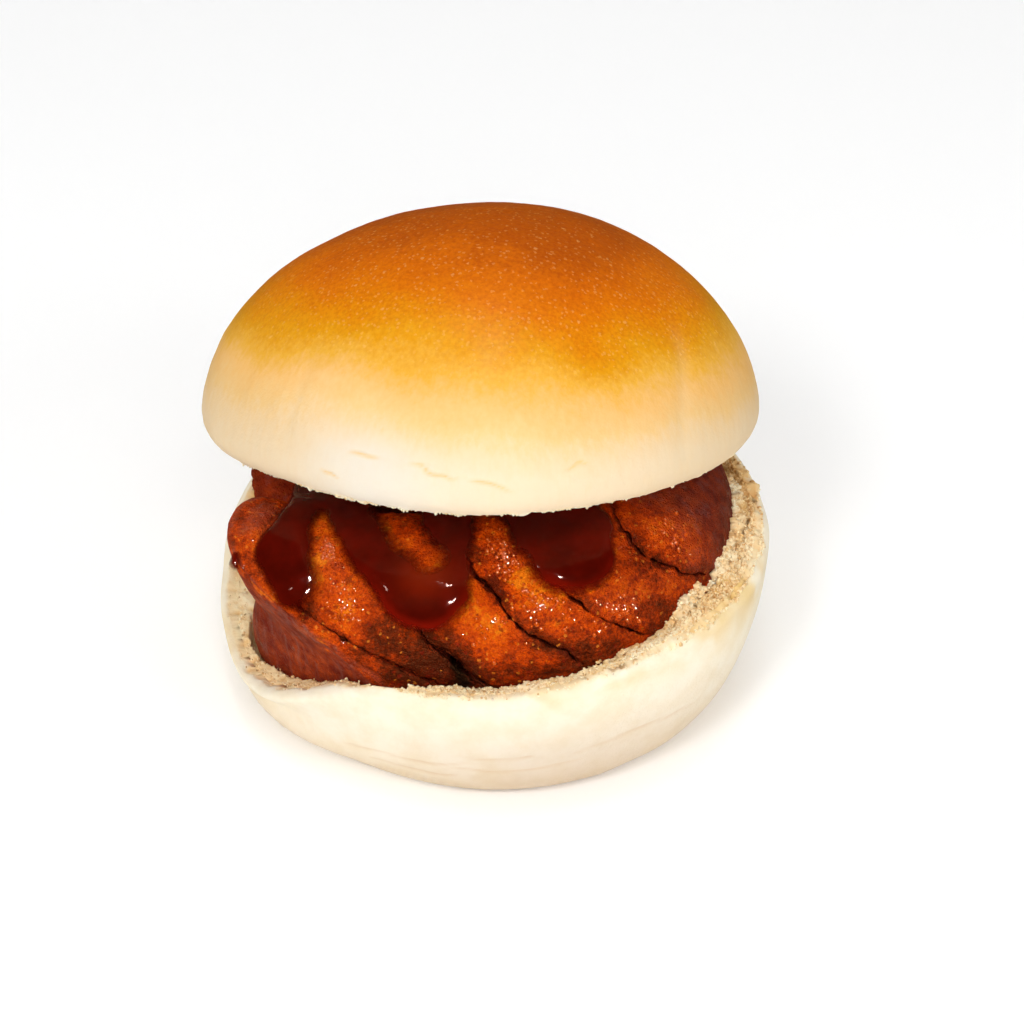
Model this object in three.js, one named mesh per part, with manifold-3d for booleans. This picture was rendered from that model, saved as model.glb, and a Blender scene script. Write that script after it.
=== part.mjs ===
// A soft white roll, cut open and filled with a browned sausage in slanting slices.
// Millimetres, +Z up. The origin is the centre of the roll's flat foot, +X is to the
// right, and the opening of the roll faces -Y.
import * as THREE from "three";
import { mergeVertices } from "three/addons/utils/BufferGeometryUtils.js";
import Module from "manifold-3d";

const wasm = await Module();
wasm.setup();

// Driving sizes.
const clearance = 0.4; // between the bread and whatever is pressed into it

// Bottom half. Each list goes round the roll in equal steps, counter-clockwise from +X.
const bottomHalf = {
  radius: [49.3, 49.5, 51, 53, 54, 53.5, 50.2, 48.8, 45, 44, 45.5, 48.3],
  rimHeight: [32.5, 33.5, 34, 34, 29, 23.5, 15, 14, 25, 26, 29.5, 31.5],
  footRadius: 34,
  bellyHeight: 0.92, // widest level, as a share of the rim's height
  wallPower: 0.9, // below 1 the wall widens quickly above the foot
  lipIn: 1.5, // how far the wall leans in above the widest level
  crumbRound: 1.2, // width of the rounded top of the rim
  crumbDrop: 0.2, // and how much it falls inwards
  crumbLevel: 21, // level of the crumb in the middle
  bowlPower: 1.5, // above 1 the crumb levels out towards the middle
};

// Top half, in its own frame: the origin is the centre of its widest level.
const topHalf = {
  radius: 50,
  shape: [0.95, 0.98, 1.015, 1.02, 1.025, 1.045, 1.035, 0.935, 0.915, 0.935, 0.915, 0.91],
  height: 35.6,
  heightPower: 1.11, // above 1 the dome is a little peaked
  lipDepth: 6, // from the widest level down to the cut underside
  lipIn: 6.8, // how far the lower edge rolls in
  hollow: 2, // the underside rises this much towards its middle
  tilt: -17.6, // degrees about X: the front is lifted
  place: new THREE.Vector3(-0.5, 8, 51.2),
};

// The rows of meat lie along bends in plan: start and heading (degrees from +X), then
// arcs of a length and a radius, each turning to the left. The centre line climbs from
// its level by the rise. The front row swells out by a share of its radius at its upper back.
const frontRow = {
  start: [-47, -14],
  heading: -22,
  bends: [{ length: 53, radius: 110 }, { length: 54, radius: 24.5 }],
  level: 26,
  rise: 3.5,
  radius: 16.5,
  shoulder: 0.12,
  shoulderAt: 122, // degrees round from the front
  shoulderReach: 32,
};

// The length behind it, seen at the left.
const backRow = {
  start: [-42, 19],
  heading: -12,
  bends: [{ length: 60, radius: 150 }],
  level: 26.5,
  rise: 1,
  radius: 15.5,
};

// A cut is a curve on the row's skin: the distance along the row for each angle,
// at + front * cos + top * sin, and a twist of twice the angle where the cut is bent.
// Angle 0 is the row's front, 90 degrees its top. A negative top leans to the left.
const cuts = [
  { at: 26, front: 10, top: -18, twistTop: -4 },
  { at: 39.5, front: 4, top: -13 },
  { at: 54.5, front: 4, top: -12 },
  { at: 65, front: 1.5, top: -11 },
  { at: 83.3, front: -4, top: -10, twistFront: 2, twistTop: -4 },
];

// The ends of the rows, where the middle stands out from the rim by the bulge. The power
// is 0.5 for a round end and nearer to 1 for one with a crisp rim.
const flatBulge = 0.1; // of a cut face; above this an end is a rounded one
const leftEnd = { at: 11, front: 12, top: -3.5, twistFront: 6, twistTop: -5, bulge: 5, power: 0.8 };
const rightEnd = { at: 96, front: 0, top: -2, bulge: 9, power: 0.5 };
const backLeftEnd = { at: -0.6, front: 2, top: -1, bulge: flatBulge, power: 0.5 };
const backRightEnd = { at: 36, front: 0, top: 0, bulge: 8, power: 0.5 };

const cutGap = 1.2; // along the row, between two slices
const gapShift = 0.3; // of it, moved from the front to the back, where the row bends inwards
const edgeDrop = 0.8; // how far a slice's skin rounds down at a cut
const edgeLength = 3.5; // over this distance from the cut
const endGrow = 3; // a hollow grows this much more along the row than out from it

const roundSteps = 52; // round a half of the roll
const sliceSteps = 30; // round a slice
const sliceRows = 7; // rings along a slice
const roundRows = 4; // rings on a rounded end

// Shared helpers.
const turn = Math.PI * 2;

// Smooth closed curve through values that stand at equal steps round a circle.
function around(values, angle) {
  const count = values.length;
  const place = (((angle / turn) % 1) + 1) % 1 * count;
  const i = Math.floor(place);
  const f = place - i;
  const [p0, p1, p2, p3] = [-1, 0, 1, 2].map((k) => values[(i + k + count) % count]);
  return 0.5 * (2 * p1 + (p2 - p0) * f + (2 * p0 - 5 * p1 + 4 * p2 - p3) * f * f
    + (3 * p1 - p0 - 3 * p2 + p3) * f * f * f);
}

// Closed surface through rings of equal count, with a fan from a point at each end.
function closedSkin(start, rings, end) {
  const count = rings[0].length;
  const points = [start, ...rings.flat(), end];
  const last = points.length - 1;
  const at = (ring, j) => 1 + ring * count + (j % count);
  const index = [];
  for (let j = 0; j < count; j++) {
    index.push(0, at(0, j + 1), at(0, j));
    for (let ring = 0; ring < rings.length - 1; ring++) {
      index.push(at(ring, j), at(ring, j + 1), at(ring + 1, j + 1));
      index.push(at(ring, j), at(ring + 1, j + 1), at(ring + 1, j));
    }
    index.push(last, at(rings.length - 1, j), at(rings.length - 1, j + 1));
  }
  const geometry = new THREE.BufferGeometry().setFromPoints(points);
  geometry.setIndex(index);
  return geometry;
}

function toSolid(geometry) {
  const bare = geometry.clone();
  bare.deleteAttribute("normal");
  bare.deleteAttribute("uv");
  const merged = mergeVertices(bare, 1e-4);
  return new wasm.Manifold(new wasm.Mesh({
    numProp: 3,
    vertProperties: new Float32Array(merged.attributes.position.array),
    triVerts: new Uint32Array(merged.index.array),
  }));
}

function toGeometry(solid) {
  const mesh = solid.getMesh();
  const geometry = new THREE.BufferGeometry();
  geometry.setAttribute("position", new THREE.BufferAttribute(mesh.vertProperties, 3));
  geometry.setIndex(new THREE.BufferAttribute(mesh.triVerts, 1));
  return geometry;
}

// Sausage rows.
// Centre and direction of a row at a distance along it. The first arc runs on before the
// start, the last one after the end.
function rowCentre(row, along) {
  let [x, y] = row.start;
  let heading = THREE.MathUtils.degToRad(row.heading);
  let left = along;
  row.bends.forEach(({ length, radius }, k) => {
    const step = k === row.bends.length - 1 ? left : Math.min(left, length);
    const turned = step / radius;
    x += radius * (Math.sin(heading + turned) - Math.sin(heading));
    y -= radius * (Math.cos(heading + turned) - Math.cos(heading));
    heading += turned;
    left -= step;
  });
  const total = row.bends.reduce((sum, bend) => sum + bend.length, 0);
  const t = THREE.MathUtils.clamp(along / total, 0, 1);
  const climb = (row.rise * 6 * t * (1 - t)) / total;
  return {
    centre: new THREE.Vector3(x, y, row.level + row.rise * t * t * (3 - 2 * t)),
    ahead: new THREE.Vector3(Math.cos(heading), Math.sin(heading), climb).normalize(),
  };
}

// How far the skin stands out there, as a share of the radius.
function swellAt(row, angle) {
  const off = (THREE.MathUtils.radToDeg(angle) - row.shoulderAt) / row.shoulderReach;
  return row.shoulder ? 1 + row.shoulder * Math.exp(-off * off) : 1;
}

// Point on a row: distance along it, angle round it, distance out from its centre line.
function onRow(row, along, angle, radius) {
  const { centre, ahead } = rowCentre(row, along);
  const out = radius * swellAt(row, angle);
  const front = ahead.clone().cross(new THREE.Vector3(0, 0, 1)).normalize();
  const top = front.clone().cross(ahead);
  return centre.addScaledVector(front, out * Math.cos(angle)).addScaledVector(top, out * Math.sin(angle));
}

function cutAt(cut, angle) {
  const twist = (cut.twistFront ?? 0) * Math.cos(2 * angle) + (cut.twistTop ?? 0) * Math.sin(2 * angle);
  return cut.at + cut.front * Math.cos(angle) + cut.top * Math.sin(angle) + twist;
}

// Rings from an end's rim towards its middle, which stands out from the rim by the bulge.
// side is 1 for a right end and -1 for a left one. The last ring is near the middle.
function endRings(row, rim, side, radius, end, angles) {
  const rows = end.bulge > flatBulge ? roundRows : 1;
  const middle = angles.reduce((sum, angle) => sum + rim(angle), 0) / angles.length;
  const placeAt = (share, angle) => {
    const standOut = end.bulge * (1 - share * share) ** end.power;
    const along = middle + (rim(angle) - middle) * share + side * standOut;
    return onRow(row, along, angle, radius * share);
  };
  const rings = Array.from({ length: rows }, (_, i) => {
    const share = Math.cos((Math.PI / 2) * ((i + 1) / (rows + 1)));
    return angles.map((angle) => placeAt(share, angle));
  });
  return { rings, middle: placeAt(0, 0) };
}

// One slice: its skin sinks towards each cut and is full at a rounded end. The rings run
// from the right end to the left one. With a grow it is the hollow that the slice presses
// into the bread, longer too, so that the hollows of two slices meet.
function sliceGeometry(row, left, right, grow = 0) {
  const angles = Array.from({ length: sliceSteps }, (_, j) => (j / sliceSteps) * turn);
  const from = (angle) => cutAt(left, angle) - grow * endGrow;
  const to = (angle) => cutAt(right, angle) + grow * endGrow;
  const sink = (end, distance) => {
    const near = end.bulge > flatBulge ? 0 : Math.max(0, 1 - distance / edgeLength);
    return edgeDrop * near ** 2;
  };
  const skinRings = Array.from({ length: sliceRows }, (_, i) => {
    // The rings stand closer together near the cuts, where the skin bends.
    const t = 0.5 + 0.5 * Math.cos((Math.PI * i) / (sliceRows - 1));
    return angles.map((angle) => {
      const along = from(angle) + (to(angle) - from(angle)) * t;
      const sunk = Math.max(sink(left, along - from(angle)), sink(right, to(angle) - along));
      return onRow(row, along, angle, row.radius + grow - sunk);
    });
  });
  const edge = (end) => row.radius + grow - sink(end, 0);
  const rightEndRings = endRings(row, to, 1, edge(right), right, angles);
  const leftEndRings = endRings(row, from, -1, edge(left), left, angles);
  const rings = [...rightEndRings.rings.reverse(), ...skinRings, ...leftEndRings.rings];
  return closedSkin(rightEndRings.middle, rings, leftEndRings.middle);
}

// A cut moved by half the gap between two slices: side is 1 for the slice on its right.
function besideCut(cut, side) {
  const at = cut.at + (side * cutGap) / 2;
  return { ...cut, at, front: cut.front - side * cutGap * gapShift, bulge: flatBulge, power: 0.5 };
}

function frontSlices(grow = 0) {
  const starts = [leftEnd, ...cuts.map((cut) => besideCut(cut, 1))];
  const ends = [...cuts.map((cut) => besideCut(cut, -1)), rightEnd];
  return starts.map((start, k) => sliceGeometry(frontRow, start, ends[k], grow));
}

function backLength(grow = 0) {
  return sliceGeometry(backRow, backLeftEnd, backRightEnd, grow);
}

// What the bread gives way to.
function meatHollows() {
  return [...frontSlices(clearance), backLength(clearance)].map(toSolid).reduce((all, one) => all.add(one));
}

// The roll.
// Height of the cut underside of the top half over a place of the bottom half.
const tilt = THREE.MathUtils.degToRad(topHalf.tilt);
function undersideHeight(y) {
  const level = topHalf.place.z - topHalf.lipDepth * Math.cos(tilt);
  const from = topHalf.place.y + topHalf.lipDepth * Math.sin(tilt);
  return level + (y - from) * Math.tan(tilt);
}

function bottomGeometry() {
  const sizes = bottomHalf;
  const angles = Array.from({ length: roundSteps }, (_, j) => (j / roundSteps) * turn);
  const rimAt = (angle) => {
    const y = (around(sizes.radius, angle) - sizes.lipIn) * Math.sin(angle);
    return Math.min(around(sizes.rimHeight, angle), undersideHeight(y) - clearance);
  };
  const ringOf = (radiusAt, heightAt) => angles.map((angle) => {
    const r = radiusAt(angle);
    return new THREE.Vector3(r * Math.cos(angle), r * Math.sin(angle), heightAt(angle));
  });
  const rings = [];
  const wallRows = 6;
  for (let i = 0; i <= wallRows; i++) {
    const a = (i / wallRows) * (Math.PI / 2);
    const out = Math.sin(a) ** sizes.wallPower;
    const widen = (angle) => sizes.footRadius + (around(sizes.radius, angle) - sizes.footRadius) * out;
    rings.push(ringOf(widen, (angle) => rimAt(angle) * sizes.bellyHeight * (1 - Math.cos(a))));
  }
  const rimOut = (angle) => around(sizes.radius, angle) - sizes.lipIn;
  rings.push(ringOf(rimOut, rimAt));
  const rimIn = (angle) => rimOut(angle) - sizes.crumbRound;
  const crumbTop = (angle) => rimAt(angle) - sizes.crumbDrop;
  rings.push(ringOf(rimIn, crumbTop));
  const bowlRows = 5;
  for (let i = 1; i <= bowlRows; i++) {
    const share = 1 - i / (bowlRows + 1);
    const blend = share ** sizes.bowlPower;
    const level = (angle) => sizes.crumbLevel + (crumbTop(angle) - sizes.crumbLevel) * blend;
    rings.push(ringOf((angle) => rimIn(angle) * share, level));
  }
  return closedSkin(new THREE.Vector3(0, 0, 0), rings, new THREE.Vector3(0, 0, sizes.crumbLevel));
}

function topGeometry() {
  const sizes = topHalf;
  const angles = Array.from({ length: roundSteps }, (_, j) => (j / roundSteps) * turn);
  const ringOf = (radius, height) => angles.map((angle) => {
    const r = radius * around(sizes.shape, angle);
    return new THREE.Vector3(r * Math.cos(angle), r * Math.sin(angle), height);
  });
  const rings = [];
  const edge = sizes.radius - sizes.lipIn;
  const undersideRows = 3;
  for (let i = 1; i <= undersideRows; i++) {
    const share = i / undersideRows;
    rings.push(ringOf(edge * share, -sizes.lipDepth + sizes.hollow * (1 - share ** 2)));
  }
  const lipRows = 4;
  for (let i = lipRows - 1; i >= 1; i--) {
    const w = i / lipRows;
    rings.push(ringOf(sizes.radius - sizes.lipIn * w ** 2, -sizes.lipDepth * Math.sin((w * Math.PI) / 2)));
  }
  const domeRows = 9;
  for (let i = domeRows; i >= 1; i--) {
    const a = (i / domeRows) * (Math.PI / 2);
    const level = sizes.height * Math.max(0, Math.cos(a)) ** sizes.heightPower;
    rings.push(ringOf(sizes.radius * Math.sin(a), level));
  }
  const underCentre = new THREE.Vector3(0, 0, -sizes.lipDepth + sizes.hollow);
  const geometry = closedSkin(underCentre, rings, new THREE.Vector3(0, 0, sizes.height));
  geometry.rotateX(tilt);
  geometry.translate(sizes.place.x, sizes.place.y, sizes.place.z);
  return geometry;
}

// Materials and assembly.
const breadSkin = () => new THREE.MeshStandardMaterial({ color: 0xefb055, roughness: 0.55, metalness: 0 });
const paleBread = () => new THREE.MeshStandardMaterial({ color: 0xf7e8cc, roughness: 0.7, metalness: 0 });
const brownedMeat = () => new THREE.MeshStandardMaterial({ color: 0xa44410, roughness: 0.35, metalness: 0 });

const object = new THREE.Group();

function addPiece(name, geometry, material) {
  const mesh = new THREE.Mesh(geometry, material);
  mesh.name = name;
  object.add(mesh);
}

const hollows = meatHollows();
addPiece("bun_bottom", toGeometry(toSolid(bottomGeometry()).subtract(hollows)), paleBread());
addPiece("bun_top", toGeometry(toSolid(topGeometry()).subtract(hollows)), breadSkin());
frontSlices().forEach((geometry, k) => addPiece(`sausage_slice_${k + 1}`, geometry, brownedMeat()));
addPiece("sausage_back", backLength(), brownedMeat());

export default object;
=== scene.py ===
# A soft white roll, cut open and filled with a browned, glazed sausage in slanting slices.
# Metres, +Z up. The roll stands on its flat foot at the origin and opens towards -Y.
import math

import bpy
import numpy as np
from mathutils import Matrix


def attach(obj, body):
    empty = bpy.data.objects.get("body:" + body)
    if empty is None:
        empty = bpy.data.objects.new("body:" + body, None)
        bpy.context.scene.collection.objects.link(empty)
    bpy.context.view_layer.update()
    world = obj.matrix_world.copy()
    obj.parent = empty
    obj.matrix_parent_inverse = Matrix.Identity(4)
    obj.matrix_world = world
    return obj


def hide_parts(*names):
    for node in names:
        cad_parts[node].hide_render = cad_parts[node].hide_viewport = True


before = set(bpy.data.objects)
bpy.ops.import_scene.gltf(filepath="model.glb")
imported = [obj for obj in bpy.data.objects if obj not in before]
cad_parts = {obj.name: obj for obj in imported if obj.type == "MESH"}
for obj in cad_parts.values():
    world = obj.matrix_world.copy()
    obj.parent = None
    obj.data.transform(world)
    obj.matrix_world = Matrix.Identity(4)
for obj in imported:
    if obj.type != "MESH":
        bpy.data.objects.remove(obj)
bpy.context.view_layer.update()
mm = 0.001  # shapes are worked out in millimetres and go into the meshes in metres
turn = 2 * math.pi


# eased step: 0 below low, 1 above high, 3t^2 - 2t^3 between them
def smoothStep(low, high, x):
    t = np.clip((x - low) / (high - low), 0, 1)
    return t * t * (3 - 2 * t)


# a hump of height 1 at a middle, falling as exp(-(distance / width)^2)
def hump(x, middle, width):
    return np.exp(-((x - middle) / width) ** 2)


# shortest way from one angle to another in degrees, -180 to 180
def angleFrom(angle, middle):
    return (angle - middle + 180) % 360 - 180


# a hump over the angles round a middle one, in degrees
def towards(angle, middle, reach):
    return hump(angleFrom(angle, middle), 0, reach)


# smooth closed curve through values that stand at equal steps round a circle (angles in degrees):
# the Catmull-Rom cubic between each pair of values
def aroundCurve(values, angle):
    values = np.asarray(values, float)
    place = (angle / 360.0 % 1.0) * len(values)
    i = np.floor(place).astype(int)
    f = place - i
    p0, p1, p2, p3 = (values[(i + k) % len(values)] for k in (-1, 0, 1, 2))
    return 0.5 * (2 * p1 + (p2 - p0) * f + (2 * p0 - 5 * p1 + 4 * p2 - p3) * f ** 2
                  + (3 * p1 - p0 - 3 * p2 + p3) * f ** 3)


# whole numbers for lattice corners, mixed until they look random, then scaled to -1..1
def randomAt(corner, seed):
    mixed = corner[..., 0] * 374761393 + corner[..., 1] * 668265263 + corner[..., 2] * 974634777
    mixed = (mixed + seed * 1274126177) & 0xFFFFFFFF
    mixed = ((mixed ^ (mixed >> 13)) * 1274126177) & 0xFFFFFFFF
    mixed = ((mixed ^ (mixed >> 16)) * 461845907) & 0xFFFFFFFF
    return (mixed >> 8 & 0xFFFF) / 32767.5 - 1


# smooth random field of about -1 to 1: values on the corners of cubic cells, blended along
# each axis with the eased weight 6t^5 - 15t^4 + 10t^3
def cellNoise(points, cell, seed):
    place = points / cell
    base = np.floor(place).astype(np.int64)
    f = place - base
    w = f ** 3 * (f * (f * 6 - 15) + 10)
    total = np.zeros(points.shape[:-1])
    for corner in range(8):
        step = np.array([corner & 1, corner >> 1 & 1, corner >> 2 & 1])
        share = np.where(step == 1, w, 1 - w).prod(axis=-1)
        total += share * randomAt(base + step, seed)
    return total


# the same field at several sizes, each half as large and half as strong as the last
def layeredNoise(points, cell, seed, layers=3, gain=0.5):
    total = np.zeros(points.shape[:-1])
    strength = 1.0
    for k in range(layers):
        total += strength * cellNoise(points, cell * 0.5 ** k, seed + 7 * k)
        strength *= gain
    return total


# several smooth fields added up: strength, cell and seed of each
def sumOfNoises(points, fields):
    return sum(strength * cellNoise(points, cell, seed) for strength, cell, seed in fields)


# distance to the nearest of one random point per cubic cell, in cells, clipped to 0..1
def poreField(points, cell, seed):
    place = points / cell
    base = np.floor(place).astype(np.int64)
    nearest = np.full(points.shape[:-1], 9.0)
    for k in range(27):
        step = np.array([k % 3 - 1, k // 3 % 3 - 1, k // 9 - 1])
        corner = base + step
        jitter = np.stack([randomAt(corner, seed + n) for n in range(3)], axis=-1) * 0.5 + 0.5
        nearest = np.minimum(nearest, np.linalg.norm(corner + jitter - place, axis=-1))
    return np.clip(nearest, 0, 1)


# outward normals of a grid whose columns run round: (step round) x (step along)
def gridNormals(grid):
    roundStep = np.roll(grid, -1, axis=1) - np.roll(grid, 1, axis=1)
    alongStep = np.gradient(grid, axis=0)
    normal = np.cross(roundStep, alongStep)
    return normal / np.maximum(np.linalg.norm(normal, axis=-1, keepdims=True), 1e-9)


# rings of points in the plane of the angles (in degrees), from their radius and height
def ringsOf(radius, height, angle):
    radians = np.radians(angle)
    return np.stack([radius * np.cos(radians), radius * np.sin(radians), height], -1)


# quads between rings of points, and at each end a fan onto a point of its own; those two
# points come after all the rings
def ringFaces(rows, columns):
    ring = np.arange(columns)
    following = (ring + 1) % columns
    start = np.arange(rows - 1)[:, None] * columns
    above = start + columns
    quads = np.stack([start + ring, start + following, above + following, above + ring], -1)
    count, top = rows * columns, (rows - 1) * columns
    firstFan = np.stack([np.full(columns, count), following, ring], -1)
    lastFan = np.stack([np.full(columns, count + 1), top + ring, top + following], -1)
    return quads.reshape(-1, 4).tolist() + firstFan.tolist() + lastFan.tolist()


# rings of points become one closed mesh: the fans meet at the middle of the first and of the
# last ring
def closedMesh(name, grid, material, masks):
    points = np.concatenate([grid.reshape(-1, 3), [grid[0].mean(axis=0)], [grid[-1].mean(axis=0)]])
    ends = {}
    for key, mask in masks.items():
        ends[key] = np.append(mask.ravel(), [mask[0].mean(), mask[-1].mean()])
    return addMesh(name, points * mm, ringFaces(*grid.shape[:2]), material, ends)


def addObject(name, data):
    item = bpy.data.objects.new(name, data)
    bpy.context.scene.collection.objects.link(item)
    return item


def addMesh(name, points, faces, material, masks=None):
    mesh = bpy.data.meshes.new(name)
    mesh.from_pydata(points.tolist(), [], faces)
    for key, values in (masks or {}).items():
        layer = mesh.attributes.new(key, "FLOAT", "POINT")
        layer.data.foreach_set("value", np.asarray(values, np.float32))
    mesh.shade_smooth()
    mesh.materials.append(material)
    mesh.update()
    print("made", name, "with", len(mesh.polygons), "faces")
    return addObject(name, mesh)


def pointsOf(piece):
    places = np.empty(len(piece.data.vertices) * 3)
    piece.data.vertices.foreach_get("co", places)
    return places.reshape(-1, 3)


# colours are given as seen on a screen, 0 to 255, and the shaders take linear light
def linearColor(red, green, blue):
    shares = [v / 255 for v in (red, green, blue)]
    return tuple(v / 12.92 if v <= 0.04045 else ((v + 0.055) / 1.055) ** 2.4 for v in shares) + (1.0,)


# each input of a node takes a link, or a value; three numbers on a colour input are a colour
# as seen on a screen, and four are linear light
def feed(tree, node, inputs):
    for key, value in inputs.items():
        socket = node.inputs[key]
        if isinstance(value, bpy.types.NodeSocket):
            tree.links.new(value, socket)
        elif socket.type == "RGBA" and len(value) == 3:
            socket.default_value = linearColor(*value)
        else:
            socket.default_value = value


def addNode(tree, kind, inputs=None, **settings):
    node = tree.nodes.new(kind)
    for key, value in settings.items():
        setattr(node, key, value)
    feed(tree, node, inputs or {})
    return node


def mathNode(tree, operation, a, b=0.0, clamp=False):
    node = addNode(tree, "ShaderNodeMath", {0: a, 1: b}, operation=operation, use_clamp=clamp)
    return node.outputs[0]


def vectorNode(tree, operation, inputs):
    return addNode(tree, "ShaderNodeVectorMath", inputs, operation=operation).outputs[0]


def times(tree, a, b):
    return mathNode(tree, "MULTIPLY", a, b)


# share of the way from low to high, eased and clamped
def stepNode(tree, value, low, high):
    inputs = {"Value": value, "From Min": low, "From Max": high}
    return addNode(tree, "ShaderNodeMapRange", inputs, interpolation_type="SMOOTHSTEP").outputs[0]


def mixColor(tree, factor, a, b, blend="MIX"):
    inputs = {"Factor": factor, 6: a, 7: b}
    return addNode(tree, "ShaderNodeMix", inputs, data_type="RGBA", blend_type=blend).outputs[2]


# a colour laid over another where a mask is, at some strength
def tint(tree, color, mask, strength, paint):
    return mixColor(tree, times(tree, mask, strength), color, paint)


def rampNode(tree, value, stops):
    node = addNode(tree, "ShaderNodeValToRGB", {"Fac": value})
    ramp = node.color_ramp
    while len(ramp.elements) < len(stops):
        ramp.elements.new(0.5)
    for element, (place, color) in zip(ramp.elements, stops):
        element.position = place
        element.color = linearColor(*color)
    return node.outputs["Color"]


def maskNode(tree, name):
    return addNode(tree, "ShaderNodeAttribute", attribute_name=name).outputs["Fac"]


# noise in the object's own space; a stretch below 1 draws it out upright
def noiseNode(tree, scale, detail=3.0, roughness=0.5, stretch=1.0):
    where = addNode(tree, "ShaderNodeTexCoord").outputs["Object"]
    if stretch != 1.0:
        where = vectorNode(tree, "MULTIPLY", {0: where, 1: (1, 1, stretch)})
    inputs = {"Vector": where, "Scale": scale, "Detail": detail, "Roughness": roughness}
    return addNode(tree, "ShaderNodeTexNoise", inputs).outputs["Fac"]


def newGroup(name, inputs, outputs):
    group = bpy.data.node_groups.new(name, "ShaderNodeTree")
    for label, value in inputs.items():
        kind = "NodeSocketColor" if isinstance(value, tuple) else "NodeSocketFloat"
        socket = group.interface.new_socket(label, in_out="INPUT", socket_type=kind)
        socket.default_value = value
    for label in outputs:
        kind = "NodeSocketColor" if label == "Color" else "NodeSocketFloat"
        group.interface.new_socket(label, in_out="OUTPUT", socket_type=kind)
    source = group.nodes.new("NodeGroupInput")
    sink = group.nodes.new("NodeGroupOutput")
    return group, source.outputs, sink.inputs


# grain: a coarse and a fine noise added up, for the relief of meat, skin and crumb
def makeGrainGroup():
    inputs = {"Coarse Scale": 600.0, "Fine Scale": 2000.0, "Fine Share": 0.4}
    group, source, sink = newGroup("grain", inputs, ["Height"])
    coarse = noiseNode(group, source["Coarse Scale"])
    fine = noiseNode(group, source["Fine Scale"], detail=2.0)
    height = mathNode(group, "ADD", coarse, times(group, fine, source["Fine Share"]))
    group.links.new(height, sink["Height"])
    return group


# speckle: small uneven spots, one in each cell of a cell pattern, of which only a share is kept
def makeSpeckleGroup():
    inputs = {"Scale": 500.0, "Size": 0.2, "Share": 0.3}
    group, source, sink = newGroup("speckle", inputs, ["Mask"])
    where = addNode(group, "ShaderNodeTexCoord").outputs["Object"]
    wander = addNode(group, "ShaderNodeTexNoise", {"Vector": where, "Scale": 1600.0, "Detail": 2.0})
    wander = vectorNode(group, "SCALE", {0: wander.outputs["Color"], "Scale": 0.0007})
    where = vectorNode(group, "ADD", {0: where, 1: wander})
    cells = addNode(group, "ShaderNodeTexVoronoi", {"Vector": where, "Scale": source["Scale"]})
    spot = mathNode(group, "SUBTRACT", source["Size"], cells.outputs["Distance"])
    spot = mathNode(group, "MULTIPLY", spot, 14.0, clamp=True)
    lottery = addNode(group, "ShaderNodeSeparateColor", {"Color": cells.outputs["Color"]}).outputs[0]
    kept = mathNode(group, "LESS_THAN", lottery, source["Share"])
    group.links.new(times(group, spot, kept), sink["Mask"])
    return group


# mottle: two colours blended by noise, with the middle of the blend and its softness to choose
def makeMottleGroup():
    group, source, sink = newGroup("mottle", {
        "First Color": (1, 1, 1, 1), "Second Color": (0, 0, 0, 1),
        "Scale": 200.0, "Middle": 0.5, "Softness": 0.1}, ["Color", "Mask"])
    noise = noiseNode(group, source["Scale"], detail=4.0, roughness=0.6)
    low = mathNode(group, "SUBTRACT", source["Middle"], source["Softness"])
    high = mathNode(group, "ADD", source["Middle"], source["Softness"])
    mask = stepNode(group, noise, low, high)
    color = mixColor(group, mask, source["First Color"], source["Second Color"])
    group.links.new(color, sink["Color"])
    group.links.new(mask, sink["Mask"])
    return group


# crumb: pale bread, darker as the pore value falls, which on torn crumb is towards the middle of each
# pore, a painted shade in the holes; tan where it is warm
def makeCrumbGroup():
    group, source, sink = newGroup("crumbColor", {"Pore": 0.5, "Warm": 0.0}, ["Color"])
    pale = rampNode(group, source["Pore"], (
        (0.10, (226, 178, 112)), (0.28, (246, 218, 168)),
        (0.5, (253, 236, 198)), (0.85, (255, 247, 220))))
    warm = rampNode(group, source["Pore"], (
        (0.10, (192, 132, 70)), (0.4, (228, 178, 108)), (0.85, (248, 214, 150))))
    group.links.new(mixColor(group, source["Warm"], pale, warm), sink["Color"])
    return group


grainGroup = makeGrainGroup()
crumbGroup = makeCrumbGroup()
speckleGroup = makeSpeckleGroup()
mottleGroup = makeMottleGroup()


def useGroup(tree, group, inputs):
    node = addNode(tree, "ShaderNodeGroup", node_tree=group)
    feed(tree, node, inputs)
    return node.outputs


def grain(tree, coarse, fine, fineShare):
    inputs = {"Coarse Scale": coarse, "Fine Scale": fine, "Fine Share": fineShare}
    return useGroup(tree, grainGroup, inputs)["Height"]


def crumbColor(tree):
    inputs = {"Pore": maskNode(tree, "pore"), "Warm": maskNode(tree, "warm")}
    return useGroup(tree, crumbGroup, inputs)["Color"]


def speckle(tree, scale, size, share):
    return useGroup(tree, speckleGroup, {"Scale": scale, "Size": size, "Share": share})["Mask"]


def mottle(tree, scale, middle, softness, first=(255, 255, 255), second=(0, 0, 0)):
    return useGroup(tree, mottleGroup, {
        "Scale": scale, "Middle": middle, "Softness": softness,
        "First Color": first, "Second Color": second})


# a value swung to both sides by noises: scale, detail, roughness, stretch and strength of each
def swing(tree, value, noises):
    for scale, detail, roughness, stretch, strength in noises:
        noise = noiseNode(tree, scale, detail, roughness, stretch)
        change = times(tree, mathNode(tree, "SUBTRACT", noise, 0.5), strength)
        value = mathNode(tree, "ADD", value, change)
    return value


def newMaterial(name, settings):
    material = bpy.data.materials.new(name)
    material.use_nodes = True
    tree = material.node_tree
    shader = tree.nodes["Principled BSDF"]
    feed(tree, shader, settings)
    return material, tree, shader


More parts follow.
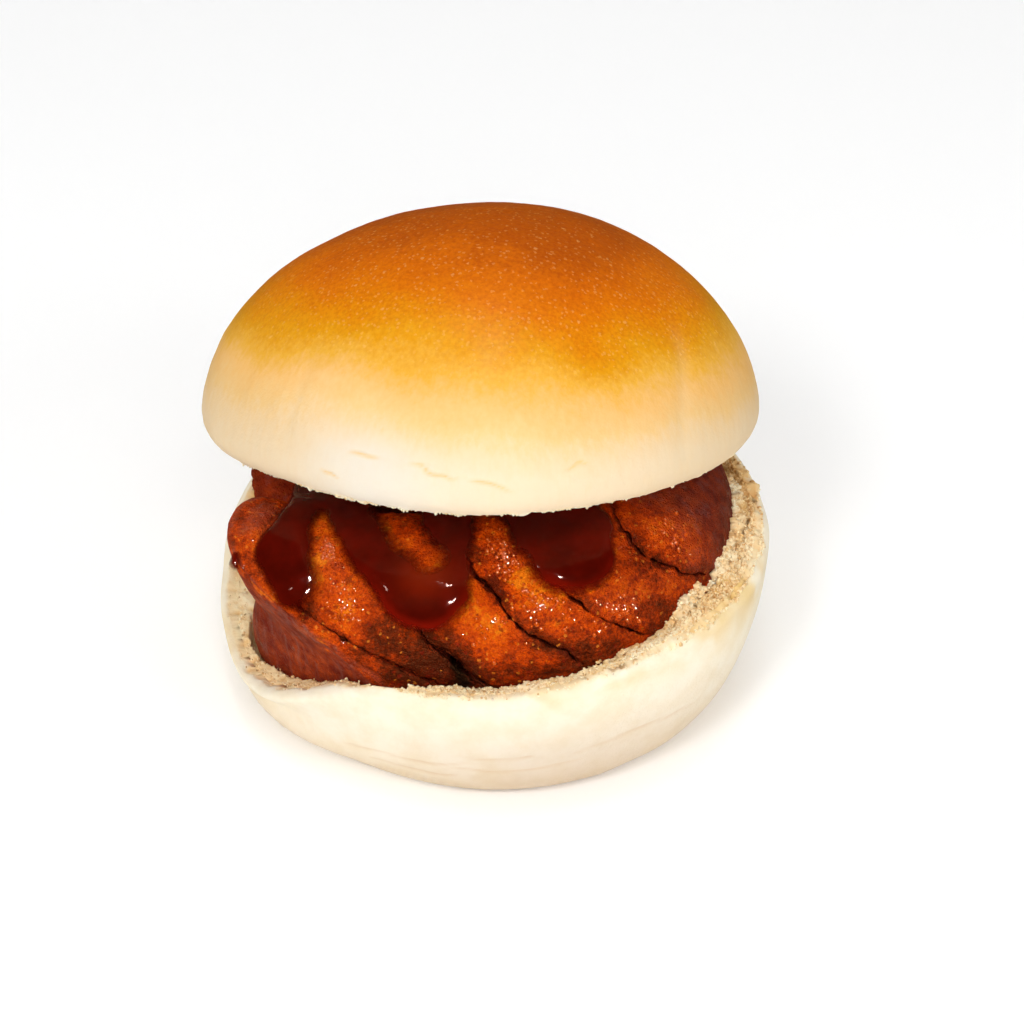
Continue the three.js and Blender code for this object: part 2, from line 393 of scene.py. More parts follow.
def bumpInto(tree, shader, height, distance, strength=1.0):
    inputs = {"Height": height, "Distance": distance, "Strength": strength}
    feed(tree, shader, {"Normal": addNode(tree, "ShaderNodeBump", inputs).outputs["Normal"]})


# The two rows of sausage, whose lines the bread and the sauce follow. Millimetres and degrees.

frontRow = {
    "start": (-47.0, -14.0),  # in plan, at its left end
    "heading": -22.0,
    "bends": ((53.0, 110.0), (54.0, 24.5)),  # length and radius of each arc
    "level": 26.0,  # of the centre line at the left end
    "rise": 3.5,  # of the centre line towards the right end
    "radius": 16.5,
    "shoulder": 0.12,  # it stands out by this share of its radius
    "shoulderAt": 122.0,  # at this angle round from its front, its upper back
    "shoulderReach": 32.0,
}

backRow = {
    "start": (-42.0, 19.0),
    "heading": -12.0,
    "bends": ((60.0, 150.0),),
    "level": 26.5,
    "rise": 1.0,
    "radius": 15.5,
}


# A row of meat at a distance along it: its centre, the horizontal direction towards the
# opening, and the one upwards, both square to the row. The centre line is a chain of arcs in
# plan that climbs by an eased rise.
def rowFrame(row, along):
    along = np.asarray(along, float)
    x, y = (np.full(along.shape, start) for start in row["start"])
    heading = np.full(along.shape, math.radians(row["heading"]))
    left = along
    for k, (length, radius) in enumerate(row["bends"]):
        step = left if k == len(row["bends"]) - 1 else np.minimum(left, length)
        turned = step / radius
        x = x + radius * (np.sin(heading + turned) - np.sin(heading))
        y = y - radius * (np.cos(heading + turned) - np.cos(heading))
        heading = heading + turned
        left = left - step
    total = sum(length for length, radius in row["bends"])
    t = np.clip(along / total, 0, 1)
    z = row["level"] + row["rise"] * t * t * (3 - 2 * t)
    climb = row["rise"] * 6 * t * (1 - t) / total
    ahead = np.stack([np.cos(heading), np.sin(heading), climb], -1)
    ahead = ahead / np.linalg.norm(ahead, axis=-1, keepdims=True)
    front = np.cross(ahead, [0.0, 0.0, 1.0])
    front = front / np.linalg.norm(front, axis=-1, keepdims=True)
    return np.stack([x, y, z], -1), front, np.cross(front, ahead)


# point of a row's skin: centre + out * (front cos(angle) + top sin(angle)), angle in radians
def onRow(row, along, angle, out):
    centre, front, top = rowFrame(row, along)
    if "shoulder" in row:
        bulge = hump(np.degrees(angle) % 360, row["shoulderAt"], row["shoulderReach"])
        out = out * (1 + row["shoulder"] * bulge)
    square = front * np.cos(angle)[..., None] + top * np.sin(angle)[..., None]
    return centre + out[..., None] * square


# place on the front row's skin, or lifted off it, at distances along the row and round it
def onSkin(u, v, lift=0.0):
    radius = frontRow["radius"]
    return onRow(frontRow, u, v / radius, np.full(u.shape, radius + lift))


# lattice in plan that holds the meat's lowest and highest points; the gap is left to the bread
meatPlan = {"side": 140.0, "cell": 0.5, "gap": 0.15, "spread": 60}


# Lowest and highest point of the meat over each cell, from the points of its skin. A cell
# takes in its neighbours too, so that the bread keeps a little clear of it. The nearness
# falls from 1 under the meat to 0 some way off, by averaging over neighbours.
def planOfMeat(points):
    count = int(meatPlan["side"] / meatPlan["cell"])
    column, line = planCell(points[:, 0], points[:, 1])
    low, high = np.full((count, count), 999.0), np.full((count, count), -999.0)
    np.minimum.at(low, (column, line), points[:, 2])
    np.maximum.at(high, (column, line), points[:, 2])
    for axis in (0, 1):
        low = np.minimum(low, np.minimum(np.roll(low, 1, axis), np.roll(low, -1, axis)))
        high = np.maximum(high, np.maximum(np.roll(high, 1, axis), np.roll(high, -1, axis)))
    near = (low < 900).astype(float)
    for _ in range(meatPlan["spread"]):
        for axis in (0, 1):
            near = 0.5 * near + 0.25 * (np.roll(near, 1, axis) + np.roll(near, -1, axis))
    return low, high, near


def planCell(x, y):
    count = int(meatPlan["side"] / meatPlan["cell"])
    places = (((v + meatPlan["side"] / 2) / meatPlan["cell"]).astype(int) for v in (x, y))
    return tuple(np.clip(place, 0, count - 1) for place in places)


# the crumb never rises above the meat's underside, and the lid's underside never sinks below
# the meat's upper side
def crumbUnderMeat(x, y, z, plan):
    return np.minimum(z, plan[0][planCell(x, y)] - meatPlan["gap"])


def crumbOverMeat(x, y, z, plan):
    return np.maximum(z, plan[1][planCell(x, y)] + meatPlan["gap"])


# The top half of the roll.

topRoll = {
    "radius": 50.0,
    # share of the radius in twelve directions, from the right round by the back and the left
    "shape": (0.95, 0.98, 1.015, 1.02, 1.025, 1.045, 1.035, 0.935, 0.915, 0.935, 0.915, 0.91),
    "height": 35.6,  # of the dome over its widest part
    "heightPower": 1.11,  # above 1 the dome is a little pointed
    "lipDepth": 6.0,  # from the widest part down to the flat underside
    "lipIn": 6.8,
    "hollow": 2.0,  # the underside's middle stands in by this
    "tilt": -17.6,  # front edge up
    "place": (-0.5, 8.0, 51.2),
    "swell": ((0.45, 24.0, 3), (0.18, 9.0, 4)),  # height, size and seed of its lumps
    "streakDepth": 0.05,
    "grainDepth": 0.035,
    # directions and reaches of a dent at the right, which leans as it goes up, of one at the
    # left, of a flattened shoulder and of a lip that stands out
    "rightDent": (316, 2.6),
    "dentLean": 14,
    "leftDent": (221, 2),
    "dentDepth": 0.28,
    "shoulder": (350, 28),
    "shoulderDepth": 0.8,
    "leftLip": (198, 18),
    "leftLipStandOut": 0.7,
    "wrinkleDepth": 0.3,
    "crumbDepth": 1.0,
    "granuleDepth": 0.3,
    # the front is less baked than the rest by some share, whiter low down because the sides there get
    # painted shade, and floury at a place
    "paleFront": (257, 48),
    "paleShare": 0.11,
    "unshadedFront": (265, 52),
    "floury": (244, 16),
    "steps": 440,  # points round each ring
    "undersideRows": 28,
    "lipRows": 30,
    "domeRows": 140,
}

# turned about the x axis by the tilt, then moved to its place
def placeTop(local):
    tilt = math.radians(topRoll["tilt"])
    x, y, z = np.moveaxis(local, -1, 0)
    across = y * math.cos(tilt) - z * math.sin(tilt)
    upwards = y * math.sin(tilt) + z * math.cos(tilt)
    return np.stack([x, across, upwards], -1) + np.array(topRoll["place"])


# height of the top half's flat underside over a place in plan
def undersideHeight(y):
    tilt = math.radians(topRoll["tilt"])
    level = topRoll["place"][2] - topRoll["lipDepth"] * math.cos(tilt)
    start = topRoll["place"][1] + topRoll["lipDepth"] * math.sin(tilt)
    return level + (y - start) * math.tan(tilt)


# Rings from the middle of the underside out, round the lip and up to the pole. With R the
# radius: underside r from 0 to R - lipIn, lip r = R - lipIn w^2 and z = -depth sin(90w),
# dome r = R sin(a) and z = height cos(a)^power. The skin is then moved along its normals.
def makeTopRoll(material, meatExtent):
    size = topRoll
    angle = np.arange(size["steps"]) * 360.0 / size["steps"]
    share = np.linspace(0.03, 1, size["undersideRows"])
    w = np.linspace(1, 0, size["lipRows"] + 1)[1:]
    a = np.radians(np.linspace(90, 0.6, size["domeRows"] + 1)[1:])
    edge = size["radius"] - size["lipIn"]
    rowRadius = np.concatenate([
        edge * share, size["radius"] - size["lipIn"] * w ** 2, size["radius"] * np.sin(a)])
    rowHeight = np.concatenate([
        -size["lipDepth"] + size["hollow"] * (1 - share ** 2),
        -size["lipDepth"] * np.sin(w * math.pi / 2),
        size["height"] * np.cos(a) ** size["heightPower"]])
    radius = rowRadius[:, None] * aroundCurve(size["shape"], angle)[None]
    height = np.repeat(rowHeight[:, None], size["steps"], axis=1)
    local = ringsOf(radius, height, angle)
    grid = placeTop(local)

    rowNumber = np.arange(len(rowRadius))[:, None]
    onUnderside = 1 - smoothStep(size["undersideRows"] - 2, size["undersideRows"] + 3, rowNumber)
    lipShare = np.concatenate([np.ones(size["undersideRows"]), w, np.zeros(size["domeRows"])])
    lipShare = lipShare[:, None]
    edgeTear = smoothStep(0.55, 0.95, lipShare + 0.25 * cellNoise(local, 3.0, 31))
    cut = np.clip(np.maximum(onUnderside + 0 * radius, edgeTear * (lipShare > 0.3)), 0, 1)

    # relief in millimetres: broad swell, faint upright streaks low down, fine skin
    columnPlace = np.stack([np.radians(angle) * 16 + 0 * height, height / 30, 0 * height], -1)
    low = 1 - smoothStep(4, 18, height)
    relief = sumOfNoises(local, size["swell"])
    relief += size["streakDepth"] * low * layeredNoise(columnPlace, 0.22, 5, 2) * (1 - cut)
    relief += size["grainDepth"] * layeredNoise(local, 2.4, 6, 2)
    # the dents, the shoulder and the lip
    dentAngle = size["rightDent"][0] + size["dentLean"] * smoothStep(2, 26, height)
    rightDent = towards(angle, dentAngle, size["rightDent"][1]) * smoothStep(-4, 4, height)
    rightDent = rightDent * (1 - smoothStep(14, 22, height))
    leftDent = 0.5 * towards(angle, *size["leftDent"]) * smoothStep(0, 5, height)
    leftDent = leftDent * (1 - smoothStep(12, 18, height))
    dent = np.maximum(rightDent, leftDent)
    relief -= size["dentDepth"] * dent
    shoulder = size["shoulderDepth"] * towards(angle, *size["shoulder"]) * hump(height, 28, 4.5)
    relief -= shoulder * (1 - smoothStep(31, 34.5, height))
    leftLip = size["leftLipStandOut"] * towards(angle, *size["leftLip"]) * hump(height, -3.5, 4)
    relief += leftLip * (1 - onUnderside)
    # short wrinkles low on the front
    wrinkles = 0 * height
    crooked, shaky = 0.5 * cellNoise(local, 4.0, 8), 0.5 * cellNoise(local, 1.6, 9)
    for middle, reach, level, rise in topWrinkles:
        offset = angleFrom(angle, middle)
        line = level + rise * offset / reach + crooked + shaky
        ends = 1 - smoothStep(0.3, 1.0, np.abs(offset) / reach)
        wrinkles = np.maximum(wrinkles, hump(height, line, 0.3) * ends)
    relief -= size["wrinkleDepth"] * wrinkles
    # torn crumb: open pores and granules on the cut
    pores = poreField(grid, 1.9, 12)
    granules = size["granuleDepth"] * layeredNoise(grid, 1.3, 13, 2)
    relief += cut * (size["crumbDepth"] * (pores - 0.55) + granules)
    grid = grid + relief[..., None] * gridNormals(grid)
    under = slice(0, size["undersideRows"])
    grid[under, :, 2] = crumbOverMeat(*np.moveaxis(grid[under], -1, 0), meatExtent)

    # how baked it is, 0 to 1 by height, and the other masks
    bake = height / size["height"] + 0.03 * cellNoise(local, 10.0, 21)
    awayFromFront = 1 - towards(angle, *size["paleFront"])
    bake += size["paleShare"] * awayFromFront * smoothStep(0, 10, height)
    bake = np.clip(bake, 0, 1)
    for middle, reach, level, tall, strength in darkBlotches:
        bake += strength * towards(angle, middle, reach) * hump(height, level, tall)
    # painted shade: the skin low down on the sides, away from the front, is darkened
    side = (1 - towards(angle, *size["unshadedFront"])) * (1 - smoothStep(3, 15, height))
    floury = towards(angle, *size["floury"]) * (1 - smoothStep(3, 10, height))
    return closedMesh("topRoll", grid, material, {
        "bake": bake, "cut": cut, "mark": wrinkles, "pore": pores,
        "dent": dent, "side": side, "floury": floury})


# wrinkles: middle angle, reach to each side in degrees, level above the widest part, rise
topWrinkles = (
    (243, 5, 3.5, -0.3),
    (258.5, 6.5, 2.3, -1.1),
    (270, 5.5, 0.4, -1.0),
    (288, 3, 2.6, 0.3),
    (234.5, 3, -0.2, -0.5),
)
# browner places, and paler ones below 0: middle angle, reach in degrees, level, height, strength
darkBlotches = (
    (296, 26, 28, 5, 0.06),
    (297, 9, 18, 4, 0.11),
    (300, 30, 34.6, 1.2, 0.15),
    (250, 8, 22, 3, -0.04),
    (226, 24, 11, 6, -0.09),
)

# colours of the skin by height, from the cream lower edge to the brown pole
bakeColors = (
    (0.00, (243, 221, 188)),
    (0.14, (243, 213, 168)),
    (0.25, (243, 203, 140)),
    (0.38, (243, 191, 116)),
    (0.49, (236, 175, 62)),
    (0.59, (229, 157, 18)),
    (0.70, (227, 138, 3)),
    (0.80, (225, 121, 1)),
    (0.90, (216, 108, 1)),
    (1.00, (193, 90, 4)),
)


def makeTopSkin():
    material, tree, shader = newMaterial("topSkin", {
        "Coat Roughness": 0.35, "Specular IOR Level": 0.05, "Specular Tint": (1.0, 0.6, 0.3, 1.0),
        "Subsurface Weight": 0.12, "Subsurface Scale": 0.001, "Subsurface Radius": (1.0, 0.8, 0.55)})
    bake = maskNode(tree, "bake")
    cut = maskNode(tree, "cut")
    patches, streaks = (90.0, 6.0, 0.6, 1.0, 0.2), (900.0, 3.0, 0.6, 0.25, 0.16)
    skin = rampNode(tree, swing(tree, bake, (patches, streaks)), bakeColors)
    brown = stepNode(tree, bake, 0.35, 0.75)
    fine = mottle(tree, 1500.0, 0.52, 0.16, second=(236, 216, 196))["Color"]
    skin = mixColor(tree, times(tree, brown, 0.8), skin, fine, "MULTIPLY")
    small = times(tree, speckle(tree, 1000.0, 0.3, 0.7), 0.6)
    blister = mathNode(tree, "MAXIMUM", speckle(tree, 420.0, 0.17, 0.45), small)
    blister = times(tree, blister, stepNode(tree, bake, 0.38, 0.6))
    skin = tint(tree, skin, blister, 0.34, (250, 196, 112))
    # painted shade multiplied onto the sides low down
    skin = mixColor(tree, maskNode(tree, "side"), skin, (242, 236, 223), "MULTIPLY")
    for name, strength, paint in (
            ("floury", 0.6, (230, 228, 220)),
            ("mark", 0.8, (238, 200, 132)),
            ("dent", 0.12, (246, 224, 186))):
        skin = tint(tree, skin, maskNode(tree, name), strength, paint)
    torn = useGroup(tree, crumbGroup, {"Pore": maskNode(tree, "pore")})["Color"]
    rough = mathNode(tree, "SUBTRACT", 0.62, times(tree, brown, 0.2))
    feed(tree, shader, {
        "Base Color": mixColor(tree, cut, skin, torn),
        "Coat Weight": times(tree, brown, 0.02),
        "Roughness": mathNode(tree, "ADD", rough, times(tree, cut, 0.25))})
    height = mathNode(tree, "ADD", grain(tree, 500.0, 2400.0, 0.5), times(tree, blister, 0.8))
    bumpInto(tree, shader, height, 0.00012, 0.7)
    return material


# The bottom half of the roll.

bottomRoll = {
    # widest radius, and height of the rim, in twelve directions from the right round by the back
    "radius": (49.3, 49.5, 51, 53, 54, 53.5, 50.2, 48.8, 45, 44, 45.5, 48.3),
    "rimHeight": (32.5, 33.5, 34, 34, 29, 23.5, 15, 14, 25, 26, 29.5, 31.5),
    "footRadius": 34.0,
    "bellyHeight": 0.92,  # height of the widest part, as a share of the rim's
    "wallPower": 0.9,
    "lipIn": 1.5,
    "lidGap": 0.4,
    "crumbRound": 1.2,  # width of the rim's rounded inner edge
    "crumbDrop": 0.2,
    "crumbLevel": 21.0,  # height of the bowl's middle
    "bowlPower": 1.5,
    "heapAngle": 333.0,  # here the torn crumb stands up against the meat
    "heapReach": 15.0,
    "heapHeight": 3.4,
    "swell": ((0.5, 20.0, 42), (0.2, 8.0, 43)),  # height, size and seed of its lumps
    "grainDepth": 0.03,
    "creaseDepth": 0.3,
    "corner": (214, 13),  # direction and reach of the pinched left corner
    "cornerDepth": 2.3,
    "cornerStandOut": 1.2,  # of the rim over it
    "tornDepths": (0.55, 0.6, 0.5),  # of large pores, small pores and lumps in the torn crumb
    "fluffy": ((340, 40), (20, 25)),  # directions and reaches where they are deeper
    "steps": 760,  # points round each ring
    "footRows": 4,
    "wallRows": 60,
    "lipRows": 10,
    "crumbRows": 110,
}


# Rings from the middle of the foot out, up the wall, over the rim and across the crumb.
# Wall: r = foot + (R - foot) sin(a)^power, z = belly (1 - cos(a)); above the widest level
# r = R - lipIn w^2. Crumb: level + (rim - level) share^power, sunk under the meat.
def makeBottomRoll(material, meatExtent):
    size = bottomRoll
    angle = np.arange(size["steps"]) * 360.0 / size["steps"]
    fullRadius = aroundCurve(size["radius"], angle)
    rimOut = fullRadius - size["lipIn"]
    underLid = undersideHeight(rimOut * np.sin(np.radians(angle))) - size["lidGap"]
    rim = np.minimum(aroundCurve(size["rimHeight"], angle), underLid)
    belly = rim * size["bellyHeight"]
    foot = np.full(angle.shape, size["footRadius"])

    footShare = np.linspace(0.1, 0.94, size["footRows"])[:, None]
    a = np.radians(np.linspace(0, 90, size["wallRows"]))[:, None]
    w = np.linspace(0, 1, size["lipRows"] + 1)[1:, None]
    wallRadius = foot + (fullRadius - foot) * np.sin(a) ** size["wallPower"]
    crumbEdge = rimOut - size["crumbRound"]
    share = 1 - 0.88 * np.linspace(0, 1, size["crumbRows"])[:, None] ** 1.5
    crumbTop = rim - size["crumbDrop"]
    crumbHeight = size["crumbLevel"] + (crumbTop - size["crumbLevel"]) * share ** size["bowlPower"]
    heap = towards(angle, size["heapAngle"], size["heapReach"])
    crumbHeight = crumbHeight + size["heapHeight"] * heap * hump(share, 0.89, 0.07)
    radius = np.concatenate([
        foot * footShare, wallRadius, fullRadius - size["lipIn"] * w ** 2, crumbEdge * share])
    height = np.concatenate([
        0 * foot * footShare, belly * (1 - np.cos(a)), belly + (rim - belly) * w, crumbHeight])
    grid = ringsOf(radius, height, angle)

    outerRows = size["footRows"] + size["wallRows"] + size["lipRows"]
    rowNumber = np.arange(len(radius))[:, None]
    ragged = 2.0 * cellNoise(grid, 2.2, 41)
    crumb = smoothStep(outerRows - 3.5, outerRows - 0.5, rowNumber + ragged)
    wallShare = np.clip(height / np.maximum(rim, 1), 0, 1)
    onWall = (1 - crumb) * smoothStep(0.5, 3, height)

    # relief: broad swell, long fine creases low on the front, the pinched left corner
    relief = onWall * sumOfNoises(grid, size["swell"])
    relief += onWall * size["grainDepth"] * layeredNoise(grid, 2.0, 44, 2)
    creases = 0 * height
    crooked, uneven = 0.02 * cellNoise(grid, 5.0, 45), 0.6 + 0.4 * cellNoise(grid, 6.0, 46)
    for fromAngle, toAngle, level, bend in wallCreases:
        t = (angle[None] - fromAngle) / (toAngle - fromAngle)
        line = level + bend * np.sin(np.clip(t, 0, 1) * math.pi) + crooked
        ends = smoothStep(0, 0.12, t) * (1 - smoothStep(0.88, 1, t))
        creases = np.maximum(creases, hump(wallShare, line, 0.013) * ends * uneven)
    relief -= size["creaseDepth"] * creases * onWall
    pinch = size["cornerDepth"] * hump(wallShare, 0.62, 0.2)
    standOut = size["cornerStandOut"] * hump(wallShare, 0.96, 0.12)
    relief -= onWall * towards(angle, *size["corner"]) * (pinch - standOut)

    # torn crumb: pores, granules and a ragged rim
    pores = poreField(grid, 1.7, 51)
    smallPores = poreField(grid, 0.8, 52)
    fluffy = 0.6 + 0.9 * sum(towards(angle, *place) for place in size["fluffy"])
    large, small, lump = size["tornDepths"]
    torn = large * (pores - 0.55) + small * (smallPores - 0.5)
    torn = crumb * fluffy * (torn + lump * layeredNoise(grid, 3.0, 53, 4, 0.6))
    grid = grid + (relief + torn)[..., None] * gridNormals(grid)
    inner = slice(outerRows, None)
    grid[inner, :, 2] = crumbUnderMeat(*np.moveaxis(grid[inner], -1, 0), meatExtent)
    grid[: size["footRows"], :, 2] = 0.0
    grid[..., 2] = np.maximum(grid[..., 2], 0.0)

    stain = 0 * height
    blotchy = smoothStep(-0.7, 0.5, layeredNoise(grid, 5.0, 54, 2))
    for middle, reach, level, tall, strength in greaseStains:
        spread = towards(angle, middle, reach) * hump(wallShare + crumb * 0.08, level, tall)
        stain = np.maximum(stain, strength * spread * blotchy)
    # toasted towards the foot, more so at the right of the front, and darkened there by painted shade
    # as well; painted shade also greys the front below its widest part
    low = 1 - smoothStep(2, 13 + 6 * towards(angle, 300, 35), height)
    under = 1 - smoothStep(12, 24 + 4 * towards(angle, 305, 30), height)
    under = towards(angle, 285, 45) * under
    # tan near the meat and at the listed places, partly stain from the meat and partly painted shade
    near = meatExtent[2][planCell(grid[..., 0], grid[..., 1])]
    warm = 0.6 * smoothStep(0.2, 0.6, near)
    for middle, reach, strength in warmCrumb:
        warm = np.maximum(warm, strength * towards(angle, middle, reach))
    return closedMesh("bottomRoll", grid, material, {
        "crumb": crumb, "pore": pores * 0.6 + smallPores * 0.4, "stain": np.clip(stain, 0, 1),
        "warm": warm * crumb, "low": low, "under": under, "crease": creases * onWall})


# creases: from and to angle, level as a share of the rim's height, bend of the line
wallCreases = (
    (232, 266, 0.46, -0.07),
    (258, 292, 0.40, -0.05),
    (286, 322, 0.44, 0.06),
    (262, 280, 0.52, -0.03),
    (238, 262, 0.30, -0.02),
)
# stains: middle angle, reach, level, height, strength
greaseStains = (
    (283, 5, 1.0, 0.10, 0.8),
    (300, 7, 1.0, 0.10, 0.9),
    (322, 12, 0.98, 0.16, 1.0),
    (338, 9, 0.98, 0.2, 1.0),
    (190, 16, 0.8, 0.25, 0.7),
)
# warmer, tan crumb, partly stain and partly painted shade, most of all at the back of the opening:
# middle angle, reach, strength
warmCrumb = (
    (16, 26, 0.9), (155, 26, 1.0), (190, 14, 0.3), (332, 16, 0.7), (250, 34, 0.5), (288, 20, 0.35))


def makeBottomSkin():
    material, tree, shader = newMaterial("bottomSkin", {
        "Specular IOR Level": 0.03, "Subsurface Weight": 0.15, "Subsurface Scale": 0.0008,
        "Subsurface Radius": (1.0, 0.9, 0.75)})
    crumb = maskNode(tree, "crumb")
    skin = mottle(tree, 160.0, 0.52, 0.2, (251, 240, 217), (245, 230, 200))["Color"]
    # toasting with painted shade towards the foot, then a grey painted shade under the front's bulge
    skin = tint(tree, skin, maskNode(tree, "low"), 0.42, (222, 190, 146))
    skin = mixColor(tree, maskNode(tree, "under"), skin, (234, 230, 232), "MULTIPLY")
    skin = tint(tree, skin, maskNode(tree, "crease"), 0.5, (214, 178, 128))
    torn = tint(tree, crumbColor(tree), speckle(tree, 640.0, 0.24, 0.14), 0.7, (150, 98, 46))
    color = mixColor(tree, crumb, skin, torn)
    feed(tree, shader, {
        "Base Color": tint(tree, color, maskNode(tree, "stain"), 0.6, (232, 190, 90)),
        "Roughness": mathNode(tree, "ADD", 0.58, times(tree, crumb, 0.3))})
    bumpInto(tree, shader, grain(tree, 700.0, 2600.0, 0.6), 0.00016, 0.8)
    return material


# The sausage.

# A cut is a curve on the row's skin: the distance along the row for each angle,
# at + front cos + top sin, and a twist of twice the angle where the cut is bent.
cuts = (
    {"at": 26.0, "front": 10.0, "top": -18.0, "twistTop": -4.0},
    {"at": 39.5, "front": 4.0, "top": -13.0},
    {"at": 54.5, "front": 4.0, "top": -12.0},
    {"at": 65.0, "front": 1.5, "top": -11.0},
    {"at": 83.3, "front": -4.0, "top": -10.0, "twistFront": 2.0, "twistTop": -4.0},
)
leftEnd = {
    "at": 11.0, "front": 12.0, "top": -3.5, "twistFront": 6.0, "twistTop": -5.0,
    "bulge": 5.0, "power": 0.8}
rightEnd = {"at": 96.0, "front": 0.0, "top": -2.0, "bulge": 9.0}
backLeftEnd = {"at": -0.6, "front": 2.0, "top": -1.0}
backRightEnd = {"at": 36.0, "front": 0.0, "top": 0.0, "bulge": 8.0}

meatSlice = {
    "edgeDrop": 0.3,  # the skin rounds down at a cut by this much
    "edgeLength": 1.5,  # over this distance
    "gap": 0.36,  # width of a cut along the row
    "wander": ((0.55, 5.0), (0.3, 14.0)),  # how far a cut strays, and how often round the row
    "chips": (0.3, 22.0),
    "lumpHeight": 0.35,
    "grainHeight": 0.2,
    "poreDepth": 0.12,
    "tearHeight": 0.3,
    "wrinkleHeights": (0.08, 0.05),  # of the casing, on the skin and on the ends
    "hollowDepth": 0.4,
    # how much casing shows on the back row, and over the top of the left end
    "backCasing": 0.65,
    "topCasing": 0.85,
    # how dark the back row is, the right part of the front row, and more so its end
    "backShade": 0.7,
    "rightShade": 0.48,
    "endShade": 0.45,
    "steps": 300,
    "rowStep": 0.36,  # between rings along the skin
    "cutEndRows": 22,
    "roundEndRows": 40,
}


# Parts of the front row that are more orange, or darker where the share is negative: chains on
# its skin, as for the sauce.
meatPatches = (
    (((3.5, 25.0, 0.8), (12.0, 14.5, 0.8), (20.0, 8.5, 1.2), (28.0, 2.5, 1.2)), 0.2),
    (((19.0, 27.0, 2.0), (24.0, 18.0, 3.0), (28.0, 10.0, 2.0)), 0.34),
    (((41.0, 20.0, 2.5), (45.0, 15.0, 4.0), (48.0, 9.0, 2.5)), 0.26),
    (((49.0, 24.0, 2.0), (54.0, 17.0, 2.5), (60.0, 8.5, 2.5)), 0.12),
    (((64.0, 17.0, 2.0), (68.5, 20.0, 2.0)), 0.1),
    (((72.2, 20.0, 1.5), (73.0, 11.0, 1.5)), 0.25),
    (((32.0, 8.0, 2.0), (38.0, 3.0, 3.5)), -0.45),
    (((62.0, 4.0, 2.0), (66.0, 4.5, 2.0)), -0.15),
)
# a hollow at the lower end of the second cut, sunk a little and painted near black as its shadow
meatHollow = ((39.6, 6.5, 0.3), (41.6, 2.6, 1.2), (42.8, -1.5, 2.6))
# casing that comes up over the top of the left end
meatBrownTop = ((5.8, 24.5, 1.4), (6.5, 29.5, 2.4))


# the ends of a slice take a mask's values at the first and the last ring of its skin
def carryToEnds(mask, skinPart):
    mask[: skinPart.start] = mask[skinPart.start]
    mask[skinPart.stop:] = mask[skinPart.stop - 1]


def cutAt(cut, angle):
    twistFront, twistTop = cut.get("twistFront", 0.0), cut.get("twistTop", 0.0)
    twist = twistFront * np.cos(2 * angle) + twistTop * np.sin(2 * angle)
    return cut["at"] + cut["front"] * np.cos(angle) + cut["top"] * np.sin(angle) + twist


# Line of a slice's end round the row. Both sides of a cut share its wander, and each has
# small chips of its own; a rounded end is plain.
def endLine(end, angle, side, seed):
    line = cutAt(end, angle)
    if "bulge" in end:
        return line
    circle = np.stack([np.cos(angle), np.sin(angle), 0 * angle], -1)
    wander = sum(far * cellNoise(circle * often, 1.0, int(end["at"]) + k)
                 for k, (far, often) in enumerate(meatSlice["wander"]))
    deep, often = meatSlice["chips"]
    chips = deep * np.clip(cellNoise(circle * often, 1.0, seed + 3 * side), 0, 1)
    return line + wander + side * (meatSlice["gap"] / 2 + chips)


# how far the skin sinks beside a cut: drop * (1 - distance / length)^2
def sinkBeside(end, distance):
    share = np.clip(1 - distance / meatSlice["edgeLength"], 0, 1)
    return 0 * distance if "bulge" in end else meatSlice["edgeDrop"] * share ** 2


# Rings that close an end on its middle: along = middle + (line - middle) share + bulge
# (1 - share^2)^power. With them come their shares and how much of them is a cut face.
def closingRings(row, end, line, angle, side):
    isRound = "bulge" in end
    rows = meatSlice["roundEndRows"] if isRound else meatSlice["cutEndRows"]
    share = np.cos(np.linspace(0, math.pi / 2, rows + 2)[1:-1])[:, None]
    radius = row["radius"] - (0 if isRound else meatSlice["edgeDrop"])
    standOut = end.get("bulge", 0.1) * (1 - share ** 2) ** end.get("power", 0.5)
    middle = line.mean()
    along = middle + (line - middle) * share + side * standOut
    rings = onRow(row, along, np.broadcast_to(angle, along.shape), radius * share + 0 * along)
    face = np.repeat(1 - share ** 4, len(angle), axis=1)
    return rings, share, 0 * face if isRound else np.maximum(face, 0.3)


